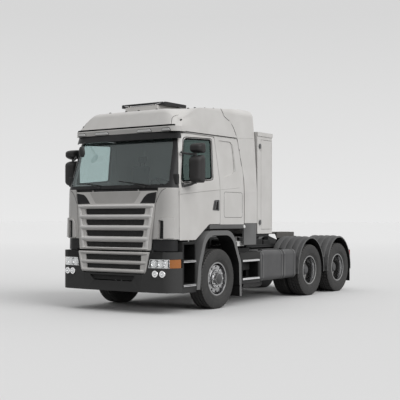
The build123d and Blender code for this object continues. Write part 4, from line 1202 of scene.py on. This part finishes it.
def mirror_case(x0, x1, y0, y1, z0, z1, round_end):
    """A mirror housing: flat at its glass, bulging to the front and rounded at its ends."""
    rings = []
    steps = 18
    for k in range(steps + 1):
        t = k / steps
        near_end = min(t, 1 - t) * (z1 - z0)
        cut = max(0.0, 1 - near_end / round_end)
        size = max(0.25, math.sqrt(max(0.0, 1 - cut ** 2.4)))
        middle, half = (x0 + x1) / 2, (x1 - x0) / 2 * (0.72 + 0.28 * size)
        depth = (y1 - y0) * size
        ring = [(middle + half, y1, z0 + t * (z1 - z0)), (middle - half, y1, z0 + t * (z1 - z0))]
        for m in range(15):
            a = math.pi * (1 - m / 14)
            across = math.copysign(abs(math.cos(a)) ** 0.55, math.cos(a))
            out = math.sin(a) ** 0.55
            ring.append((middle + half * across, y1 - 0.012 - (depth - 0.012) * out, z0 + t * (z1 - z0)))
        rings.append(ring)
    return loft(rings)


def dress_mirrors():
    main = mirror_case(1.262, 1.512, -1.055, -0.882, 2.178, 2.635, 0.09)
    upper = mirror_case(1.272, 1.512, -1.045, -0.872, 2.672, 2.838, 0.07)
    arm = tube([(1.162, -1.102, 2.69), (1.2, -1.07, 2.672), (1.27, -1.01, 2.655), (1.36, -0.965, 2.65)],
               0.019, 12)
    post = tube([(1.37, -0.955, 2.16), (1.37, -0.955, 2.7)], 0.02, 12)
    foot_arm = tube([(1.2, -1.1, 2.135), (1.225, -1.07, 2.128), (1.3, -0.99, 2.15), (1.37, -0.955, 2.19)],
                    0.022, 12)
    foot = revolve([(-0.03, 0.0), (-0.03, 0.024), (0.03, 0.03), (0.04, 0.022), (0.04, 0.0)],
                   (1.205, -1.1, 2.14), "Z", 16)
    parts = merged([main, upper, arm, post, foot_arm, foot])
    emit_pair("mirror_body", parts, "door_{side}", "black_plastic", MIRROR_CASE,
              replaces=("mirror_{side}",))
    glasses = merged([mirror_pane(1.285, 1.49, 2.21, 2.605, -0.884, -0.878),
                      mirror_pane(1.295, 1.49, 2.7, 2.81, -0.874, -0.868)])
    emit_pair("mirror_glass", glasses, "door_{side}", "rim_aluminium", MIRROR_GLASS)


def mirror_pane(x0, x1, z0, z1, y0, y1):
    """A thin plate with rounded corners, seen from the front."""
    return prism(rounded([(x0, z0), (x1, z0), (x1, z1), (x0, z1)], 0.02), "Y", y0, y1)


dress_wipers()
dress_header()
dress_roof_studs()
dress_hatch()
for side in SIDES:
    dress_side(side)
dress_rear_wall()
for side in SIDES:
    dress_corner(side)
dress_mirror_feet()
dress_front_mirror()
dress_mirrors()


# Chassis dressing

def ribbed_tread(x0, x1, y0, y1, z):
    """An aluminium step with a raised grip and a rolled edge."""
    parts = [box_mesh(x0, x1, y0, y1, z - 0.020, z + 0.012)]
    for k in range(int((x1 - x0) / 0.022)):
        x = x0 + 0.014 + 0.022 * k
        parts.append(box_mesh(x - 0.004, x + 0.004, y0 + 0.012, y1 - 0.012, z + 0.010, z + 0.017))
    return merged(parts)


def dress_steps():
    entry, rear = (1.10, 1.252, -1.125, -0.765), (1.09, 1.228, 0.765, 1.365)
    for name, plan, z in (("entry_low", entry, 0.472), ("entry_high", entry, 0.872),
                          ("rear_low", rear, 0.477), ("rear_high", rear, 0.812)):
        emit_pair(f"tread_{name}", ribbed_tread(*plan, z), "chassis", "rim_aluminium", TREAD_ALLOY,
                  bevel=0.004)


ARCH_HALF, ARCH_HEIGHT = 0.572, 0.672


def arch_strip(y, x0, x1, rise, low_z=0.76, steps=40):
    """A rolled rib along a rear mudguard."""
    limit = math.asin((low_z - WHEEL_Z) / ARCH_HEIGHT)
    rings = []
    for k in range(steps + 1):
        a = limit + (math.pi - 2 * limit) * k / steps
        spot = Vector((0, y + ARCH_HALF * math.cos(a), WHEEL_Z + ARCH_HEIGHT * math.sin(a)))
        out = Vector((0, math.cos(a) / ARCH_HALF, math.sin(a) / ARCH_HEIGHT)).normalized()
        ring = []
        for m in range(9):
            b = math.pi * m / 8
            x = (x0 + x1) / 2 - (x1 - x0) / 2 * math.cos(b)
            ring.append(Vector((x, 0, 0)) + spot + out * (rise * math.sin(b) - 0.003))
        ring.append(Vector((x1, 0, 0)) + spot - out * 0.008)
        ring.append(Vector((x0, 0, 0)) + spot - out * 0.008)
        rings.append(ring)
    return loft(rings)


def dress_mudguards():
    for axle, y in ((2, AXLE_2), (3, AXLE_3)):
        ribs = [arch_strip(y, 0.605 + 0.145 * k, 0.735 + 0.145 * k, 0.026) for k in range(4)]
        lip = arch_strip(y, 1.232, 1.2585, 0.014)
        emit_pair(f"guard_ribs_{axle}", merged([*ribs, lip]), "chassis", "dark_plastic", TRIM)


def dress_tail():
    case = box_mesh(0.90, 1.18, 5.33, 5.42, 0.59, 0.89)
    lips = [box_mesh(0.905, 1.175, 5.418, 5.432, z - 0.004, z + 0.004)
            for z in (0.598, 0.685, 0.785, 0.882)]
    emit_pair("tail_case", merged([case, *lips]), "chassis", "dark_plastic", BLACK, bevel=0.006,
              replaces=("tail_lamps",))
    for name, out, z0, z1, slot, material in (("tail_red", 5.446, 0.79, 0.878, "tail_lens", RED),
                                              ("tail_amber", 5.444, 0.69, 0.78, "lamp_lens", AMBER),
                                              ("tail_clear", 5.444, 0.603, 0.68, "lamp_lens", WHITE)):
        emit_pair(name, box_mesh(0.91, 1.17, 5.415, out, z0, z1), "chassis", slot, material, bevel=0.006)
    emit_pair("tail_side", box_mesh(1.176, 1.186, 5.345, 5.415, 0.76, 0.878), "chassis", "tail_lens", RED,
              bevel=0.004)


def dress_tanks():
    sleeve = revolve([(-0.35, 0.0), (-0.35, 0.07), (-0.335, 0.0815), (0.335, 0.0815), (0.35, 0.07),
                      (0.35, 0.0)], (0.70, 1.85, 0.315), "Y", 32)
    emit_pair("air_reservoir", sleeve, "chassis", "tank_paint", TANK)
    profile = [(-0.01, 0.045), (0.012, 0.045), (0.014, 0.038), (0.03, 0.036), (0.034, 0.03), (0.034, 0.0),
               (-0.01, 0.0)]
    caps = [revolve(profile, (1.08, y, 0.966), "Z", 24) for y in (1.62, 2.42)]
    emit_pair("tank_caps", merged(caps), "chassis", "black_plastic", BLACK)


def dress_cabinet():
    parts = []
    for z in (1.515, 2.95):
        parts.append(box_mesh(1.196, 1.209, 1.385, 1.455, z - 0.028, z + 0.028))
        parts.append(box_mesh(1.199, 1.212, 1.40, 1.44, z - 0.045, z + 0.045))
    emit("cabinet_catches", merged(parts), "chassis", "tank_paint", TANK, bevel=0.003)


def dress_small():
    box = box_mesh(0.88, 1.11, 0.76, 1.0, 1.075, 1.165)
    neck = revolve([(0.0, 0.03), (0.01, 0.03), (0.012, 0.024), (0.012, 0.0), (0.0, 0.0)],
                   (1.02, 0.86, 1.163), "Z", 20)
    emit("reservoir_left", merged([box, neck]), "chassis", "lamp_lens", WHITE, bevel=0.02)
    spot, _ = touch(("cab_floor",), "left", 0.845, 1.436)
    cap = revolve([(-0.006, 0.03), (0.006, 0.03), (0.012, 0.024), (0.012, 0.0), (-0.006, 0.0)], spot, "X",
                  20)
    emit("side_cap_left", cap, "cab", "lamp_lens", WHITE)
    mouth = slot_mesh(0.50, 0.545, 0.62, -1.43, 0.0)
    emit("mouth_mesh", mouth, "chassis", "black_plastic", BLACK)


def dress_valves():
    """Air valves on the deck between the rails."""
    valves = []
    for y, z, r in ((2.05, 1.13, 0.055), (2.3, 1.11, 0.05), (2.62, 1.12, 0.06), (2.95, 1.11, 0.05),
                    (3.12, 1.1, 0.045)):
        profile = [(-0.11, 0.0), (-0.11, r * 0.8), (-0.09, r), (0.05, r), (0.055, r * 0.6),
                   (0.11, r * 0.55), (0.11, 0.0)]
        valves.append(revolve(profile, (0.20, y, z), "X", 24))
        valves.append(box_mesh(0.12, 0.28, y - 0.03, y + 0.03, 1.03, z))
    for y0, y1, z1 in ((1.95, 2.42, 1.21), (2.52, 2.84, 1.17), (2.9, 3.16, 1.14)):
        valves.append(box_mesh(0.30, 0.41, y0, y1, 1.03, z1))
    emit_pair("frame_valves", merged(valves), "chassis", "chassis_paint", CHASSIS, bevel=0.004)


def dress_chassis():
    """Dark gear beside the frame rails: carriers, skids, the cabinet's tray and the coupling's flange."""
    carrier = [box_mesh(0.45, 1.04, 0.80, 1.30, 0.62, 1.04), box_mesh(0.45, 0.78, 0.84, 1.26, 1.04, 1.085),
               box_mesh(0.78, 1.05, 1.16, 1.28, 1.04, 1.085), box_mesh(0.62, 1.0, 0.85, 1.25, 0.45, 0.62)]
    emit_pair("side_carrier", merged(carrier), "chassis", "chassis_paint", CHASSIS, bevel=0.012)
    skids = [box_mesh(0.435, 0.53, 2.2, 4.95, 1.0, 1.016), box_mesh(0.435, 0.45, 2.2, 4.95, 1.0, 1.055)]
    wedge = prism([(4.3, 1.02), (4.95, 1.02), (4.95, 1.05), (4.3, 1.21)], "X", 0.30, 0.40)
    emit_pair("coupling_skid", merged([*skids, wedge]), "chassis", "chassis_paint", CHASSIS, bevel=0.006)
    emit("cabinet_tray", box_mesh(-1.14, 1.14, 1.37, 1.86, 1.24, 1.335), "chassis", "chassis_paint",
         CHASSIS, bevel=0.01)
    dress_valves()
    flange = [box_mesh(0.443, 0.458, 3.36, 4.12, 1.175, 1.296),
              box_mesh(0.405, 0.458, 3.36, 4.12, 1.284, 1.298)]
    emit_pair("coupling_flange", merged(flange), "fifth_wheel", "cast_steel", CAST, bevel=0.004)


dress_steps()
dress_chassis()
dress_mudguards()
dress_tail()
dress_tanks()
dress_cabinet()
dress_small()


# Interior

PAD_VOXEL = 0.02
PAD_FRAMES = 20
PAD_PRESSURE = 4.0
CAB_FLOOR = 1.4853


def evaluated_mesh(piece):
    graph = bpy.context.evaluated_depsgraph_get()
    return bpy.data.meshes.new_from_object(piece.evaluated_get(graph))


def inflated(pad):
    """The mesh of a closed cloth after a short run under inner pressure."""
    cloth = pad.modifiers.new("cloth", "CLOTH")
    cloth.settings.use_pressure = True
    cloth.settings.uniform_pressure_force = PAD_PRESSURE
    cloth.settings.effector_weights.gravity = 0.0
    cloth.point_cache.frame_start = 1
    cloth.point_cache.frame_end = PAD_FRAMES
    for number in range(1, PAD_FRAMES + 1):
        bpy.context.scene.frame_set(number)
    return evaluated_mesh(pad)


def puffed(bm, cap):
    """A block blown up into a cushion by a short cloth run. No point moves further than the cap."""
    mesh = bpy.data.meshes.new("pad")
    bm.to_mesh(mesh)
    bm.free()
    pad = bpy.data.objects.new("pad", mesh)
    bpy.context.scene.collection.objects.link(pad)
    remesh = pad.modifiers.new("remesh", "REMESH")
    remesh.mode = "VOXEL"
    remesh.voxel_size = PAD_VOXEL
    start = evaluated_mesh(pad)
    pad.modifiers.remove(remesh)
    pad.data = start
    result = bmesh.new()
    result.from_mesh(inflated(pad))
    for vert, origin in zip(result.verts, start.vertices):
        shift = vert.co - origin.co
        if shift.length > cap:
            vert.co = origin.co + shift * (cap / shift.length)
    bpy.data.objects.remove(pad)
    bpy.context.scene.frame_set(1)
    return result


def pad_block(x0, x1, y0, y1, z0, z1, inset):
    bm = box_mesh(x0 + inset, x1 - inset, y0 + inset, y1 - inset, z0 + inset, z1 - inset)
    bmesh.ops.bevel(bm, geom=bm.edges[:], offset=0.03, segments=3, affect="EDGES")
    return bm


def leaned(bm, pivot, degrees):
    """Tips a back cushion towards the rear."""
    bmesh.ops.rotate(bm, cent=pivot, matrix=Matrix.Rotation(math.radians(degrees), 3, "X"), verts=bm.verts)
    return bm


def channels(bm, axis, spots, depth, width):
    """Sewn channels across a cushion: the surface draws in along each line."""
    middle = sum((v.co for v in bm.verts), Vector()) / len(bm.verts)
    for vert in bm.verts:
        for spot in spots:
            near = math.exp(-((vert.co[axis] - spot) / width) ** 2)
            pull = vert.co - middle
            pull[axis] = 0
            if pull.length > 1e-6:
                vert.co -= pull.normalized() * depth * near
    return bm


def dress_seats():
    cushion = puffed(pad_block(0.35, 0.85, -0.48, 0.02, 1.80, 1.93, 0.012), 0.014)
    cushion = channels(cushion, 1, (-0.32, -0.14), 0.008, 0.012)
    back = puffed(pad_block(0.37, 0.83, -0.03, 0.08, 1.9, 2.6, 0.012), 0.016)
    back = leaned(channels(back, 2, (2.05, 2.2, 2.35), 0.008, 0.012), (0, 0.02, 1.9), -5.5)
    head = leaned(puffed(pad_block(0.48, 0.72, 0.085, 0.165, 2.61, 2.775, 0.008), 0.01), (0, 0.12, 2.6),
                  -4.0)
    for name, pad in (("seat_cushion", cushion), ("seat_back", back), ("head_rest", head)):
        for side, mesh in (("right", flipped(pad)), ("left", pad)):
            replaced = ("seats",) if (name, side) == ("seat_cushion", "left") else ()
            emit(f"{name}_{side}", mesh, "cab", "trim_fabric", CLOTH, smooth=80.0,
                           replaces=replaced)
    mattress = puffed(pad_block(-1.08, 1.08, 0.2, 0.79, 1.83, 1.96, 0.014), 0.014)
    mattress = channels(mattress, 0, (-0.54, 0.0, 0.54), 0.006, 0.014)
    emit("bunk_mattress", mattress, "cab", "trim_fabric", CLOTH, smooth=80.0)
    emit("bunk_base", box_mesh(-1.075, 1.075, 0.21, 0.785, CAB_FLOOR, 1.835), "cab", "dash_plastic", LINING,
         bevel=0.01)
    bases = [box_mesh(0.43, 0.77, -0.40, -0.04, 1.6, 1.81), box_mesh(0.4, 0.8, -0.44, 0.0, CAB_FLOOR, 1.6)]
    rods = [tube([(x, 0.115, 2.5), (x, 0.122, 2.66)], 0.008, 8) for x in (0.55, 0.65)]
    emit_pair("seat_base", merged([*bases, *rods]), "cab", "dash_plastic", DASH, bevel=0.012)


def hood_section(t):
    """The instrument hood's section, which swells in its middle."""
    swell = math.sin(math.pi * t)
    return [(-0.1, -0.02), (0.1, -0.02), (0.12, 0.012 + 0.03 * swell), (-0.06, 0.012 + 0.05 * swell)]


def dress_dashboard():
    hood = sweep([(x, -0.93, 2.092) for x in (0.3, 0.42, 0.55, 0.68, 0.8)], hood_section)
    emit("instrument_hood", hood, "cab", "dash_plastic", DASH, bevel=0.004)


dress_seats()
dress_dashboard()


# Stage, lights and camera

CAMERA_SPOT = (9.835, -15.1435, 1.574)
CAMERA_TURN = 34.48
CAMERA_LENS = 80.62
CAMERA_RISE = 0.0478
SUN_WAY, SUN_STRENGTH, SUN_SPREAD = (0.83, -0.08, 0.55), 1.8, 50.0
FLOOR_SIZE = 400.0
FLOOR_NEAR = 0.7
FLOOR_FAR = 0.79
FLOOR_BOUNCE = 0.16
SKY_LOW = 0.21
SKY_HIGH = 0.92
BACKDROP_LOW = 0.81
BACKDROP_HIGH = 0.675


def stage():
    ground = bpy.data.meshes.new("ground")
    bm = bmesh.new()
    bmesh.ops.create_grid(bm, x_segments=4, y_segments=4, size=FLOOR_SIZE)
    bm.to_mesh(ground)
    bm.free()
    floor = bpy.data.objects.new("ground", ground)
    bpy.context.scene.collection.objects.link(floor)
    material, tree, seen = new_material("pale floor")
    away = add(tree, "VectorMath", {0: here(tree)}, operation="LENGTH").outputs["Value"]
    distance = scaled(tree, away, 0.0, 1.0, 6.0, 45.0)
    tones = ramp(tree, distance, [FLOOR_NEAR] * 3, [FLOOR_FAR] * 3)
    feed(tree, seen, {"Base Color": tones, "Roughness": 0.9, "Specular IOR Level": 0.1})
    unseen = add(tree, "BsdfDiffuse", {"Color": (*[FLOOR_BOUNCE] * 3, 1)})
    shown = blend_shader(tree, camera_side_rays(tree), unseen, seen)
    feed(tree, tree.nodes["Material Output"], {"Surface": shown.outputs["Shader"]})
    ground.materials.append(material)


def camera_side_rays(tree):
    """1 for rays from the camera, mirrors and glass, and 0 for the light on the object."""
    path = add(tree, "LightPath").outputs
    either = reckon(tree, "MAXIMUM", path["Is Camera Ray"], path["Is Glossy Ray"])
    return reckon(tree, "MAXIMUM", either, path["Is Transmission Ray"])


PURE_WHITE = (1.0, 1.0, 1.0, 1)


def world():
    backdrop = bpy.data.worlds.new("studio")
    bpy.context.scene.world = backdrop
    backdrop.use_nodes = True
    tree = backdrop.node_tree
    place = add(tree, "TexCoord").outputs["Generated"]
    height = add(tree, "SeparateXYZ", {"Vector": place}).outputs["Z"]
    light = tree.nodes["Background"]
    feed(tree, light, {"Color": PURE_WHITE, "Strength": scaled(tree, height, SKY_LOW, SKY_HIGH, -0.1, 1.0)})
    tone = scaled(tree, height, BACKDROP_LOW, BACKDROP_HIGH, 0.0, 0.22)
    seen = add(tree, "Background", {"Color": PURE_WHITE, "Strength": tone})
    shown = blend_shader(tree, camera_side_rays(tree), light, seen)
    feed(tree, tree.nodes["World Output"], {"Surface": shown.outputs["Shader"]})


def sun(name, toward, strength, spread):
    data = bpy.data.lights.new(name, "SUN")
    data.energy = strength
    data.angle = math.radians(spread)
    lamp = bpy.data.objects.new(name, data)
    bpy.context.scene.collection.objects.link(lamp)
    lamp.rotation_euler = Vector(toward).to_track_quat("Z", "Y").to_euler()


def camera():
    data = bpy.data.cameras.new("camera")
    data.sensor_fit = "HORIZONTAL"
    data.sensor_width = 36.0
    data.lens = CAMERA_LENS
    data.shift_y = CAMERA_RISE
    data.clip_end = 2000.0
    view = bpy.data.objects.new("camera", data)
    bpy.context.scene.collection.objects.link(view)
    view.location = CAMERA_SPOT
    view.rotation_euler = (math.radians(90), 0, math.radians(CAMERA_TURN))
    bpy.context.scene.camera = view


stage()
world()
sun("key", SUN_WAY, SUN_STRENGTH, SUN_SPREAD)
camera()
bpy.context.scene.view_settings.view_transform = "Standard"
